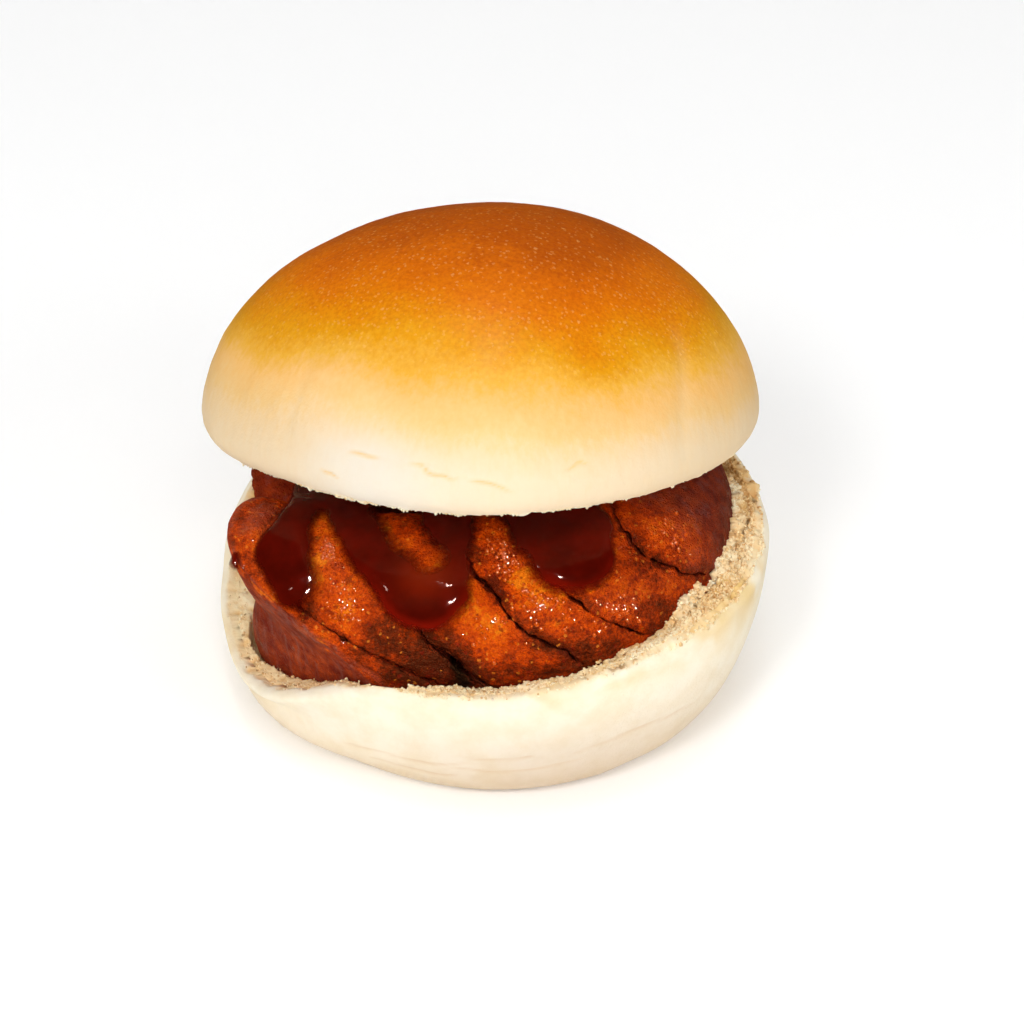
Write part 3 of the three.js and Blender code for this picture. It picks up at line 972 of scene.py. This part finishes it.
# One slice, as rings from its right end to its left one, with the skin between the two lines.
# The casing is the sausage's own skin: it shows on both ends of the front row, and faintly all
# over the back row.
def makeSlice(name, row, left, right, seed, material, casing):
    size = meatSlice
    angle = np.arange(size["steps"]) * turn / size["steps"]
    fromAlong, toAlong = endLine(left, angle, 1, seed), endLine(right, angle, -1, seed)
    skinRows = int(max((toAlong - fromAlong).mean() / size["rowStep"], 12))
    t = 0.5 + 0.5 * np.cos(np.linspace(0, math.pi, skinRows))[:, None]
    along = fromAlong + (toAlong - fromAlong) * t
    toLeft, toRight = along - fromAlong, toAlong - along
    out = row["radius"] - np.maximum(sinkBeside(left, toLeft), sinkBeside(right, toRight))
    skin = onRow(row, along, np.broadcast_to(angle, along.shape), out)
    rightRings, _, rightFace = closingRings(row, right, toAlong, angle, 1)
    leftRings, leftShare, leftFace = closingRings(row, left, fromAlong, angle, -1)
    grid = np.concatenate([rightRings[::-1], skin, leftRings])
    skinPart = slice(len(rightRings), len(rightRings) + skinRows)
    face = np.concatenate([rightFace[::-1], 0 * along, leftFace])

    nearCut, far = 0 * face, 99 + 0 * along
    roundLeft, roundRight = "bulge" in left, "bulge" in right
    nearest = np.minimum(far if roundLeft else toLeft, far if roundRight else toRight)
    nearCut[skinPart] = 1 - smoothStep(0.0, 2.6, nearest)
    nearCut = np.maximum(nearCut, np.clip(face * 3, 0, 1))

    # casing, and flecks of bare meat where the casing of the left end begins
    around = row["radius"] * np.radians(angleFrom(np.degrees(angle), 0))
    around = np.broadcast_to(around, along.shape)
    casingMask, flecks = 0 * face, 0 * face
    if casing == "left":
        edge = 1 - smoothStep(0.0, 1.4, toLeft + 0.8 * cellNoise(skin, 3.0, 71))
        brownTop = cellNoise(skin, 2.0, 73) - chainDistance(along, around, meatBrownTop)
        brownTop = size["topCasing"] * smoothStep(-0.8, 0.8, brownTop)
        casingMask[skinPart] = np.maximum(edge, brownTop)
        casingMask[skinPart.stop:] = 1
        inward = row["radius"] * (1 - leftShare) + 2.6 * layeredNoise(leftRings, 2.6, 74, 2)
        flecks[skinPart.stop:] = 0.9 * (1 - smoothStep(0.6, 1.6, inward))
    if casing == "dark":
        casingMask[...] = size["backCasing"]
    if casing == "right":
        casingMask[skinPart] = smoothStep(72.5, 80.0, along + 1.6 * cellNoise(skin, 5.0, 72))
        casingMask[: skinPart.start] = 1

    patch = 0.5 + 0.5 * layeredNoise(grid, 5.0, 65, 3) + 0.45 * flecks
    hollow, holeShadow = 0 * face, 0 * face
    shade = 0 * face + (size["backShade"] if casing == "dark" else 0.0)
    if row == frontRow:
        for chain, share in meatPatches:
            near = np.maximum(chainDistance(along, around, chain), 0)
            patch[skinPart] += share * hump(near, 0, 2.5)
        # the hollow is sunk a little and turns near black, a painted shadow
        depth = 0.5 * cellNoise(skin, 1.5, 67) - chainDistance(along, around, meatHollow)
        hollow[skinPart] = smoothStep(-0.4, 0.4, depth)
        holeShadow[skinPart] = smoothStep(0.1, 1.6, depth)
        rightPart = smoothStep(60, 66, along) * (1 - 0.5 * hump(along, 73, 3))
        shade[skinPart] = size["rightShade"] * rightPart
        shade[skinPart] += size["endShade"] * smoothStep(75, 80, along)
        for mask in (hollow, holeShadow, shade):
            carryToEnds(mask, skinPart)

    # relief: soft lumps, coarse meat grain, and torn edges along the cuts
    lumps = size["lumpHeight"] * cellNoise(grid, 9.0, 60 + seed)
    coarse = size["grainHeight"] * layeredNoise(grid, 1.7, 61, 3, 0.6)
    coarse += size["poreDepth"] * (0.5 - poreField(grid, 1.1, 62))
    smooth = 1 - 0.75 * casingMask
    tears = nearCut * (size["tearHeight"] * layeredNoise(grid, 1.2, 63, 2) - 0.12)
    onCasing, onEnds = size["wrinkleHeights"]
    wrinkle = onEnds * layeredNoise(grid * np.array([1.0, 1.0, 0.35]), 1.2, 64, 2)
    unrolled = np.stack([along, 0.18 * around, 0 * along], -1)
    wrinkle[skinPart] = onCasing * layeredNoise(unrolled, 0.9, 68, 2)
    relief = lumps + coarse * smooth + tears * (1 - casingMask) + wrinkle * casingMask
    relief -= size["hollowDepth"] * hollow
    grid = grid + relief[..., None] * gridNormals(grid)

    # painted shade: darker low on the front and at the back, and beside the left cut of a slice
    fromFront = angleFrom(np.broadcast_to(np.degrees(angle), face.shape), 0)
    low = 1 - smoothStep(-18, 42, fromFront) * (1 - smoothStep(150, 200, fromFront % 360))
    if not roundLeft:
        shadeBesideCut = 0.6 * (1 - smoothStep(0.3, 3.6, toLeft + cellNoise(skin, 4.0, 66)))
        low[skinPart] = np.maximum(low[skinPart], shadeBesideCut)
    return closedMesh(name, grid, material, {
        "face": face, "nearCut": nearCut, "low": low, "patch": patch,
        "casing": casingMask * (1 - flecks), "shade": shade, "hollow": holeShadow})


# colours of the meat, from charred to orange
meatColors = (
    (0.05, (76, 18, 2)),
    (0.28, (122, 34, 2)),
    (0.46, (170, 49, 1)),
    (0.62, (203, 66, 1)),
    (0.80, (224, 86, 2)),
    (1.00, (240, 124, 14)),
)


def makeMeat():
    material, tree, shader = newMaterial("meat", {
        "Coat Roughness": 0.08, "Specular IOR Level": 0.12, "Specular Tint": (1.0, 0.42, 0.16, 1.0)})
    # how light the meat is, from 0 to 1
    level = mathNode(tree, "ADD", 0.31, times(tree, maskNode(tree, "patch"), 0.55))
    level = swing(tree, level, (
        (380.0, 4.0, 0.65, 1.0, 0.8), (850.0, 3.0, 0.6, 1.0, 0.55), (1700.0, 3.0, 0.65, 1.0, 0.5)))
    # painted shade low on the front, at the back and beside the cuts; a little darker near every cut
    for name, strength in (("low", 0.36), ("nearCut", 0.08)):
        level = mathNode(tree, "SUBTRACT", level, times(tree, maskNode(tree, name), strength))
    color = rampNode(tree, level, meatColors)
    # specks of fat, red specks and charred patches
    for spots, strength, paint in (
            (speckle(tree, 900.0, 0.3, 0.2), 0.6, (240, 136, 40)),
            (speckle(tree, 820.0, 0.36, 0.3), 0.65, (128, 20, 5)),
            (mottle(tree, 280.0, 0.61, 0.05)["Mask"], 0.6, (96, 20, 6))):
        color = tint(tree, color, spots, strength, paint)
    face = mottle(tree, 500.0, 0.5, 0.16, (122, 38, 24), (160, 66, 42))["Color"]
    # the sausage's own skin, with darker patches, and paler upright streaks that are a painted sheen
    casing = mottle(tree, 420.0, 0.5, 0.22, (134, 40, 24), (190, 76, 34))["Color"]
    casing = tint(tree, casing, mottle(tree, 110.0, 0.58, 0.1)["Mask"], 0.5, (108, 30, 24))
    # painted sheen: pale upright streaks on the casing
    streaks = stepNode(tree, noiseNode(tree, 620.0, roughness=0.6, stretch=0.22), 0.5, 0.68)
    casing = tint(tree, casing, streaks, 0.5, (158, 98, 86))
    # the cut faces, the casing, the painted shade, and the hollow's painted shadow
    for name, paint, blend in (
            ("face", face, "MIX"), ("casing", casing, "MIX"),
            ("shade", (190, 178, 196), "MULTIPLY"), ("hollow", (20, 6, 3), "MIX")):
        color = mixColor(tree, maskNode(tree, name), color, paint, blend)
    wet = stepNode(tree, noiseNode(tree, 640.0, detail=2.0), 0.64, 0.7)
    wet = times(tree, wet, mathNode(tree, "SUBTRACT", 1.0, maskNode(tree, "hollow")))
    feed(tree, shader, {
        "Base Color": color,
        "Coat Weight": times(tree, wet, 0.6),
        "Roughness": mathNode(tree, "SUBTRACT", 0.5, times(tree, wet, 0.2))})
    bumpInto(tree, shader, grain(tree, 1100.0, 3000.0, 0.8), 0.0007)
    return material


# The sauce.

sauce = {
    # Chains of capsules on the unrolled skin of the front row. Each point is a distance along
    # the row, a distance round it from its front, and a radius.
    "drips": (
        ((17.0, 15.4, 4.6), (13.3, 21.0, 5.2), (13.4, 26.5, 3.8), (13.2, 31.5, 3.6), (14.0, 41.0, 6.5)),
        ((37.0, 17.0, 7.9), (28.0, 25.0, 5.7), (23.0, 34.0, 6.2), (22.0, 42.0, 8.0)),
        ((37.2, 17.0, 7.9), (41.3, 25.0, 4.6), (39.8, 34.0, 5.8), (38.0, 43.0, 7.5)),
        ((59.4, 19.0, 6.2), (60.0, 26.0, 8.8), (60.6, 35.0, 12.2), (70.0, 45.0, 7.0)),
        ((13.5, 33.8, 3.2), (23.0, 33.8, 3.2)),
        ((5.6, 18.6, 0.8), (5.8, 17.2, 0.9)),
    ),
    # a strip of meat left free between two drips
    "bare": ((38.2, 20.6, 0.9), (35.0, 25.4, 2.2), (31.2, 33.0, 2.9), (29.8, 37.0, 2.4)),
    # thick lower ends: place, reach, and how red the rim is
    "tips": ((37.0, 15.0, 9.0, 1.0), (58.5, 16.5, 6.5, 0.5), (16.0, 16.0, 5.0, 0.25)),
    "glow": (37.5, 17.5, 4.0),  # a lighter spot in the largest drip
    "blend": 1.6,  # how softly the drips run together
    "bareBlend": 1.2,  # and how softly they end at the bare strip
    "thick": 1.7,
    "tipThick": 0.7,  # extra thickness at the drips' lower ends
    "edge": 2.6,  # width of the rounded edge
    "fade": 1.2,  # how far in from its edge it lets the meat through
    "fadeMore": 3.0,  # and how much further beside the bare strip
    "along": (5.0, 97.0),
    "around": (4.0, 47.0),
    "step": 0.33,
    "topAngle": 100.0,  # past this the sauce leaves the row and runs level to the back
    "bend": 6.0,  # how softly it leaves the row
    "below": 0.7,  # how deep its underside lies in the meat's skin, where it follows that
}


# distances along the row and round it, in even steps over a piece's part of the skin
def skinLattice(size):
    u = np.arange(*size["along"], size["step"])[:, None]
    v = np.arange(*size["around"], size["step"])[None]
    return np.broadcast_arrays(u, v)


# signed distance to a chain of capsules whose radius changes evenly from point to point,
# negative inside
def chainDistance(u, v, chain):
    distance = np.full(u.shape, 99.0)
    for (u0, v0, r0), (u1, v1, r1) in zip(chain[:-1], chain[1:]):
        length2 = (u1 - u0) ** 2 + (v1 - v0) ** 2
        t = np.clip(((u - u0) * (u1 - u0) + (v - v0) * (v1 - v0)) / length2, 0, 1)
        capsule = np.hypot(u - u0 - t * (u1 - u0), v - v0 - t * (v1 - v0)) - (r0 + t * (r1 - r0))
        distance = np.minimum(distance, capsule)
    return distance


# smooth minimum: min(a, b) - blend/4 * (1 - |a - b| / blend)^2 where they are close
def softMin(a, b, blend):
    near = np.clip(1 - np.abs(a - b) / blend, 0, 1)
    return np.minimum(a, b) - blend / 4 * near ** 2


# how far a place is outside the drips, negative inside them
def sauceDistance(u, v):
    distance = np.full(u.shape, 99.0)
    for chain in sauce["drips"]:
        distance = softMin(distance, chainDistance(u, v, chain), sauce["blend"])
    return -softMin(-distance, chainDistance(u, v, sauce["bare"]), sauce["bareBlend"])


# The row's skin up to about the top angle, then straight back. The distance past the top
# angle grows softly from nothing: (d + sqrt(d^2 + bend^2)) / 2.
def sauceBase(u, v):
    radius = frontRow["radius"]
    over = v - radius * math.radians(sauce["topAngle"])
    past = 0.5 * (over + np.sqrt(over ** 2 + sauce["bend"] ** 2))
    angle = (v - past) / radius
    centre, front, top = rowFrame(frontRow, u)
    along = front * np.sin(angle)[..., None] - top * np.cos(angle)[..., None]
    return onSkin(u, v - past) - along * past[..., None]


# a hump round a place on the unrolled skin, made flatter where the last factor is above 1
def spotOn(u, v, middleU, middleV, reach, flatter=1.0):
    return hump(np.hypot(u - middleU, (v - middleV) * flatter), 0, reach)


# A sheet over the skin: thick * sqrt(1 - (1 - depth / edge)^2) inside the drips, closed by an
# underside. That lies in the meat's skin up to about the top angle. Past it the sheet runs free
# over the dip behind the row, with nothing under it, and ends short of the back row. Cells
# outside the drips are dropped and the rim is walled.
def makeSauce(material):
    size = sauce
    u, v = skinLattice(size)
    base = sauceBase(u, v)
    wander = np.stack([u, v, 0 * u], -1)
    wobble = 0.45 * cellNoise(wander, 5.0, 81) + 0.18 * cellNoise(wander, 1.8, 82)
    distance = sauceDistance(u, v) + wobble
    tip = 0 * distance
    for tipU, tipV, radius in (chain[0] for chain in size["drips"][:4]):
        fromTip = np.hypot(u - tipU, v - tipV + radius * 0.25)
        tip = np.maximum(tip, hump(fromTip, 0, radius * 0.8))
    depth = np.clip(-distance / size["edge"], 0, 1)
    bulge = np.sqrt(np.clip(1 - (1 - depth) ** 2, 0, 1))
    height = (size["thick"] + size["tipThick"] * tip) * bulge
    height = height * (1 + 0.12 * cellNoise(wander, 6.0, 83))
    # the last one is a small flat drop by itself
    dropU, dropV = size["drips"][-1][0][:2]
    height = height * (1 - 0.6 * spotOn(u, v, dropU, dropV, 2.5))
    lifted = np.where(distance < 0, height, -0.55 * smoothStep(0, 0.5, distance))

    # It lets the meat through towards its edges, further in beside the bare strip and at the
    # first drip's lower end. The largest drip is thick to its rim.
    atTip, rim = 0 * distance, 0 * distance
    for tipU, tipV, reach, redness in size["tips"]:
        here = spotOn(u, v, tipU, tipV, reach) ** 2 * smoothStep(tipV + 3, tipV - 1, v)
        atTip = np.maximum(atTip, here * smoothStep(0.2, 0.6, redness))
        rim = np.maximum(rim, here * redness * (1 - smoothStep(0.5, 2.4, -distance)))
    besideBare = hump(chainDistance(u, v, size["bare"]), 0, 3.5)
    besideBare = besideBare * (1 - smoothStep(33, 36, u + 0.6 * (v - 26)) * smoothStep(22, 24, v))
    firstU, firstV = size["drips"][0][0][:2]
    atFirst = spotOn(u, v, firstU + 3.5, firstV, 3.0, 0.7)
    fade = size["fade"] + size["fadeMore"] * np.maximum(besideBare, atFirst)
    fade = fade + 0.5 * cellNoise(wander, 2.0, 84)
    cover = np.maximum(smoothStep(-0.2, 1, -distance / fade), atTip)
    masks = {"cover": np.where(distance > 0, 0, cover), "rim": rim,
             "glow": spotOn(u, v, *size["glow"], 1.2)}
    normal = unitNormals(base)
    upper = base + normal * (lifted + 0.25)[..., None]
    under = base - normal * size["below"]
    return sheetMesh("sauceDrips", upper, under, distance < 0.5, material, masks)


def unitNormals(base):
    normal = np.cross(np.gradient(base, axis=0), np.gradient(base, axis=1))
    return normal / np.linalg.norm(normal, axis=-1, keepdims=True)


# the kept part of an upper and an under grid becomes one closed mesh
def sheetMesh(name, upper, under, keep, material, masks):
    points = np.concatenate([upper.reshape(-1, 3), under.reshape(-1, 3)])
    faces = sheetFaces(keep)
    used = np.unique(faces)
    renumber = np.zeros(len(points), int)
    renumber[used] = np.arange(len(used))
    both = {key: np.tile(mask.ravel(), 2)[used] for key, mask in masks.items()}
    return addMesh(name, points[used] * mm, renumber[faces].tolist(), material, both)


# upper cells, under cells turned over, and a wall along each edge between a kept and a
# dropped cell
def sheetFaces(keep):
    rows, columns = keep.shape
    cell = keep[:-1, :-1] & keep[1:, :-1] & keep[:-1, 1:] & keep[1:, 1:]
    index = np.arange(rows * columns).reshape(rows, columns)
    a, b, c, d = index[:-1, :-1], index[1:, :-1], index[1:, 1:], index[:-1, 1:]
    count = rows * columns
    upper = np.stack([a, b, c, d], -1)[cell]
    under = np.stack([a, d, c, b], -1)[cell] + count
    faces = [upper, under]
    padded = np.pad(cell, 1)
    sides = (
        (padded[1:-1, :-2], a, b),
        (padded[2:, 1:-1], b, c),
        (padded[1:-1, 2:], c, d),
        (padded[:-2, 1:-1], d, a),
    )
    for beside, p, q in sides:
        edge = cell & ~beside
        faces.append(np.stack([q[edge], p[edge], p[edge] + count, q[edge] + count], -1))
    return np.concatenate(faces)


def makeSauceMaterial():
    material, tree, shader = newMaterial("sauce", {
        "Roughness": 0.08, "Specular IOR Level": 0.12, "Specular Tint": (1.0, 0.7, 0.62, 1.0)})
    depths = mottle(tree, 110.0, 0.55, 0.2, (66, 6, 1), (92, 10, 2))["Color"]
    color = tint(tree, depths, maskNode(tree, "glow"), 0.6, (128, 34, 6))
    color = mixColor(tree, maskNode(tree, "rim"), color, (146, 20, 5))
    feed(tree, shader, {"Base Color": color, "Alpha": maskNode(tree, "cover")})
    bumpInto(tree, shader, noiseNode(tree, 260.0, detail=2.0), 0.0003, 0.6)
    return material


# Torn crumb pushed up against the meat.

crumbFlap = {
    # on the front row's skin, as for the sauce
    "chains": (
        ((62.0, -4.0, 4.0), (68.0, -1.0, 3.2), (71.8, 3.4, 2.2)),
        ((73.5, -2.5, 4.2), (78.5, 0.6, 4.2), (84.0, 1.0, 4.4), (91.0, 1.0, 4.4)),
    ),
    "along": (57.0, 97.0),
    "around": (-9.0, 9.0),
    "step": 0.22,
    "thick": 1.3,
    "edge": 2.0,  # width of the rounded edge
    "below": 0.4,  # how deep its underside lies in the meat's skin
}


# A lumpy sheet on the skin of the row: thick * sqrt(share (2 - share)) with share the depth
# inside the chains over the width of the edge, and pores and lumps added.
def makeCrumbFlap(material):
    size = crumbFlap
    u, v = skinLattice(size)
    base = onSkin(u, v)
    distance = np.minimum(*[chainDistance(u, v, chain) for chain in size["chains"]])
    distance = distance + 1.1 * layeredNoise(base, 2.2, 91, 3, 0.6) + 0.5 * cellNoise(base, 0.8, 93)
    share = np.clip(-distance / size["edge"], 0, 1)
    pores = 0.5 * poreField(base, 1.7, 51) + 0.5 * poreField(base, 0.8, 52)
    lumps = 1.3 * (pores - 0.5) + 0.8 * layeredNoise(base, 1.4, 92, 3, 0.7)
    lifted = size["thick"] * np.sqrt(share * (2 - share)) + lumps * smoothStep(0, 0.3, share)
    upper = base + unitNormals(base) * np.maximum(lifted, 0.05)[..., None]
    under = base - unitNormals(base) * size["below"]
    warm = np.clip(0.5 + 0.5 * layeredNoise(base, 3.0, 94, 2), 0, 1)
    masks = {"pore": pores, "warm": warm}
    return sheetMesh("crumbFlap", upper, under, distance < 0, material, masks)


# Beads of fat on the meat.

fatBeads = {
    "count": 460,  # tried; those in the sauce or at a cut are left out
    "small": 0.24,
    "large": 0.42,
    "seed": 9,
    # where they gather: distance along the row, distance round it, reach, share of the beads
    "spots": (
        (22.0, 22.0, 3.5, 1.0),
        (25.5, 13.0, 3.0, 0.5),
        (51.0, 22.0, 4.0, 1.0),
        (56.0, 14.0, 5.0, 1.6),
        (62.0, 8.0, 4.0, 0.5),
        (73.5, 14.0, 3.0, 0.3),
        (46.0, 10.0, 5.0, 0.3),
    ),
}


# Flattened drops that sit on the skin of the front row, half sunk in it.
def makeFatBeads(material):
    size = fatBeads
    random = np.random.default_rng(size["seed"])
    shares = np.array([spot[3] for spot in size["spots"]])
    spot = np.array(size["spots"])[random.choice(len(shares), size["count"], p=shares / shares.sum())]
    u = spot[:, 0] + spot[:, 2] * random.normal(0, 0.6, size["count"])
    v = spot[:, 1] + spot[:, 2] * random.normal(0, 0.6, size["count"])
    dry = sauceDistance(u, v) > 0.6
    for cut in cuts:
        dry &= np.abs(u - cutAt(cut, v / frontRow["radius"])) > 1.2
    u, v = u[dry], v[dry]
    centres = onSkin(u, v, lift=0.05)
    radius = random.uniform(size["small"], size["large"], len(u)) ** 1.4 * 1.6
    return makeBalls("fatBeads", centres, radius, 1.0, 8, 4, material, {})


def makeFatMaterial():
    return newMaterial("fat", {
        "Base Color": (204, 80, 8), "Roughness": 0.12,
        "Specular IOR Level": 0.5, "Specular Tint": (1.0, 0.6, 0.4, 1.0),
        "Coat Weight": 1.0, "Coat Roughness": 0.03, "Coat IOR": 1.8})[0]


# Loose crumbs on the rim.

looseCrumbs = {"rim": 10200, "lid": 1300, "small": 0.1, "large": 0.36, "seed": 5}
tornCrumbs = {"right": 6600, "front": 1400, "flap": 3800, "small": 0.14, "large": 0.44, "seed": 6}


def valuesOf(piece, name):
    values = np.empty(len(piece.data.vertices), np.float32)
    piece.data.attributes[name].data.foreach_get("value", values)
    return values


# directions of places in plan, in degrees, seen from a middle on the y axis
def directionOf(places, middleY=0.0):
    return np.degrees(np.arctan2(places[:, 1] - middleY, places[:, 0]))


# Where crumbs may lie: near the rim of the lower half, fewer on its smooth left side, and
# along the torn lower edge of the lid.
def chanceOnBottom(piece):
    places = pointsOf(piece) / mm
    direction = directionOf(places)
    inward = aroundCurve(bottomRoll["radius"], direction) - np.hypot(places[:, 0], places[:, 1])
    wide = 6 * towards(direction, 350, 40)  # the torn band is wider at the right
    chance = (valuesOf(piece, "crumb") > 0.3) * (1 - smoothStep(7 + wide, 13 + wide, inward))
    return places, chance * (1 - 0.8 * towards(direction, 195, 28)) * (1 + wide / 4)


# round one direction of the lower half, and on the flap's upper face, which is the first half
# of its points
def chanceTowards(piece, middle, reach):
    places, chance = chanceOnBottom(piece)
    return places, chance * towards(directionOf(places), middle, reach)


def chanceOnFlap(piece):
    places = pointsOf(piece) / mm
    return places, (np.arange(len(places)) < len(places) / 2).astype(float)


def chanceOnTop(piece):
    places = pointsOf(piece) / mm
    direction = directionOf(places, topRoll["place"][1])
    cut = valuesOf(piece, "cut")
    edge = smoothStep(0.3, 0.7, cut) * (1 - smoothStep(0.85, 1, cut))
    return places, edge * (0.15 + towards(direction, 238, 26))


# Balls of a few faces at many places, each with its own radius and stretch, as one mesh.
def makeBalls(name, centres, radius, stretch, columns, rings, material, masks):
    ringAngle = np.pi * (np.arange(rings) + 1) / (rings + 1)
    columnAngle = turn * np.arange(columns) / columns
    ball = np.stack([
        np.outer(np.sin(ringAngle), np.cos(columnAngle)),
        np.outer(np.sin(ringAngle), np.sin(columnAngle)),
        np.outer(-np.cos(ringAngle), np.ones(columns))], -1).reshape(-1, 3)
    ball = np.concatenate([ball, [[0, 0, -1], [0, 0, 1]]])
    points = centres[:, None] + ball[None] * stretch * radius[:, None, None]
    faces = ringFaces(rings, columns)
    everyFace = [[v + n * len(ball) for v in face] for n in range(len(centres)) for face in faces]
    everyMask = {key: np.repeat(values, len(ball)) for key, values in masks.items()}
    return addMesh(name, points.reshape(-1, 3) * mm, everyFace, material, everyMask)


# Small lumps of random shapes strewn over the torn crumb. Each source is a piece, its places
# with a chance for each, and a count.
def makeLooseCrumbs(name, size, sources, material):
    random = np.random.default_rng(size["seed"])
    centres, warmth = [], []
    for piece, (places, chance), count in sources:
        chosen = random.choice(len(places), count, p=chance / chance.sum())
        centres.append(places[chosen])
        hasWarm = "warm" in piece.data.attributes
        warmth.append(valuesOf(piece, "warm")[chosen] if hasWarm else np.zeros(count))
    centres, warmth = np.concatenate(centres), np.concatenate(warmth)
    count = len(centres)
    radius = random.uniform(size["small"], size["large"], count) ** 1.2
    masks = {"warm": warmth, "pore": random.uniform(0.15, 1.0, count)}
    columns, rings = 4, 2
    long = random.uniform(0.6, 1.5, (count, 1, 3))
    lumpy = random.uniform(0.55, 1.35, (count, columns * rings + 2, 1))
    return makeBalls(name, centres, radius, long * lumpy, columns, rings, material, masks)


def makeCrumbMaterial():
    material, tree, shader = newMaterial("looseCrumb", {"Roughness": 0.9, "Specular IOR Level": 0.02})
    feed(tree, shader, {"Base Color": crumbColor(tree)})
    return material


# Pieces.

def dress(piece, slot, *nodes):
    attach(piece, "root")
    if nodes:
        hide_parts(*nodes)


print("sausage")
meat = makeMeat()
borders = (leftEnd,) + cuts + (rightEnd,)
slices = []
for number in range(len(borders) - 1):
    casing = {0: "left", len(borders) - 2: "right"}.get(number, "")
    pieceName = f"sausageSlice{number + 1}"
    left, right = borders[number: number + 2]
    piece = makeSlice(pieceName, frontRow, left, right, 10 + number, meat, casing)
    dress(piece, "sausage", f"sausage_slice_{number + 1}")
    slices.append(piece)
slices.append(makeSlice("sausageBack", backRow, backLeftEnd, backRightEnd, 30, meat, "dark"))
dress(slices[-1], "sausage", "sausage_back")

print("bread")
meatExtent = planOfMeat(np.concatenate([pointsOf(piece) for piece in slices]) / mm)
topPiece = makeTopRoll(makeTopSkin(), meatExtent)
dress(topPiece, "bread_skin", "bun_top")
bottomPiece = makeBottomRoll(makeBottomSkin(), meatExtent)
dress(bottomPiece, "pale_bread", "bun_bottom")
crumbMaterial = makeCrumbMaterial()
flapPiece = makeCrumbFlap(crumbMaterial)
dress(flapPiece, "crumb")
dress(makeLooseCrumbs("looseCrumbs", looseCrumbs, (
    (bottomPiece, chanceOnBottom(bottomPiece), looseCrumbs["rim"]),
    (topPiece, chanceOnTop(topPiece), looseCrumbs["lid"])), crumbMaterial), "crumb")
dress(makeLooseCrumbs("tornCrumbs", tornCrumbs, (
    (bottomPiece, chanceTowards(bottomPiece, 345, 30), tornCrumbs["right"]),
    (bottomPiece, chanceTowards(bottomPiece, 256, 9), tornCrumbs["front"]),
    (flapPiece, chanceOnFlap(flapPiece), tornCrumbs["flap"])), crumbMaterial), "crumb")

print("sauce")
dress(makeSauce(makeSauceMaterial()), "sauce")
dress(makeFatBeads(makeFatMaterial()), "sausage")


# Floor, light and camera.

studio = {
    "floorSize": 6.0,
    "floorColor": (250, 250, 250),
    "floorGlow": 0.08,
    "world": 0.42,
    "mirroredWorld": 0.025,  # what shiny skins see of it, as in a dark room
    "elevation": 36.0,
    "lens": 100.0,
    "sensor": 36.0,
    "distance": 0.5098,
    "aim": (0.003, 0.0, 0.034),
}

# place, size, watts. Lamps light the skins and are not mirrored, sparks are only mirrored.
lamps = {
    "keyLamp": ((-0.45, -0.90, 0.98), 0.30, 5.6),
    "sideLamp": ((0.80, -0.70, 0.70), 0.30, 2.0),
    "frontLamp": ((0.05, -1.00, 0.85), 0.9, 4.6),
    "topLamp": ((-0.05, 0.25, 1.1), 0.8, 2.4),
}
sparks = {
    "frontSpark": ((0.15, -0.85, 1.00), 0.16, 40.0),
    "highSpark": ((-0.02, -0.20, 1.30), 0.14, 50.0),
    "leftSpark": ((-0.60, -0.50, 1.05), 0.10, 1.5),
}


def aimAt(item, target):
    x, y, z = np.array(target) - np.array(item.location)
    item.rotation_euler = (math.atan2(math.hypot(x, y), -z), 0.0, math.atan2(-x, y))


def makeFloor():
    half = studio["floorSize"] / 2
    corners = np.array([(-half, -half, 0), (half, -half, 0), (half, half, 0), (-half, half, 0)])
    material = newMaterial("floor", {
        "Roughness": 0.9, "Base Color": studio["floorColor"],
        "Emission Color": studio["floorColor"], "Emission Strength": studio["floorGlow"]})[0]
    floor = addMesh("floor", corners, [[0, 1, 2, 3]], material)
    floor.location = (0, 0, -0.0002)
    floor.visible_glossy = False


def makeLight():
    world = bpy.data.worlds.new("studio")
    world.use_nodes = True
    tree = world.node_tree
    mirrored = addNode(tree, "ShaderNodeLightPath").outputs["Is Glossy Ray"]
    inputs = {"Value": mirrored, "To Min": studio["world"], "To Max": studio["mirroredWorld"]}
    strength = addNode(tree, "ShaderNodeMapRange", inputs).outputs[0]
    feed(tree, tree.nodes["Background"], {"Color": (255, 255, 255), "Strength": strength})
    bpy.context.scene.world = world
    for name, (place, size, power) in {**lamps, **sparks}.items():
        data = bpy.data.lights.new(name, "AREA")
        data.size = size
        data.energy = power
        lamp = addObject(name, data)
        lamp.location = place
        lamp.visible_glossy = name in sparks
        lamp.visible_diffuse = name in lamps
        aimAt(lamp, studio["aim"])


def makeCamera():
    data = bpy.data.cameras.new("camera")
    data.lens = studio["lens"]
    data.sensor_width = studio["sensor"]
    data.clip_start = 0.01
    camera = addObject("camera", data)
    slope = math.radians(studio["elevation"])
    back = studio["distance"] * np.array([0.0, -math.cos(slope), math.sin(slope)])
    camera.location = tuple(np.array(studio["aim"]) + back)
    aimAt(camera, studio["aim"])
    bpy.context.scene.camera = camera


print("studio")
makeFloor()
makeLight()
makeCamera()
bpy.context.scene.view_settings.view_transform = "Standard"
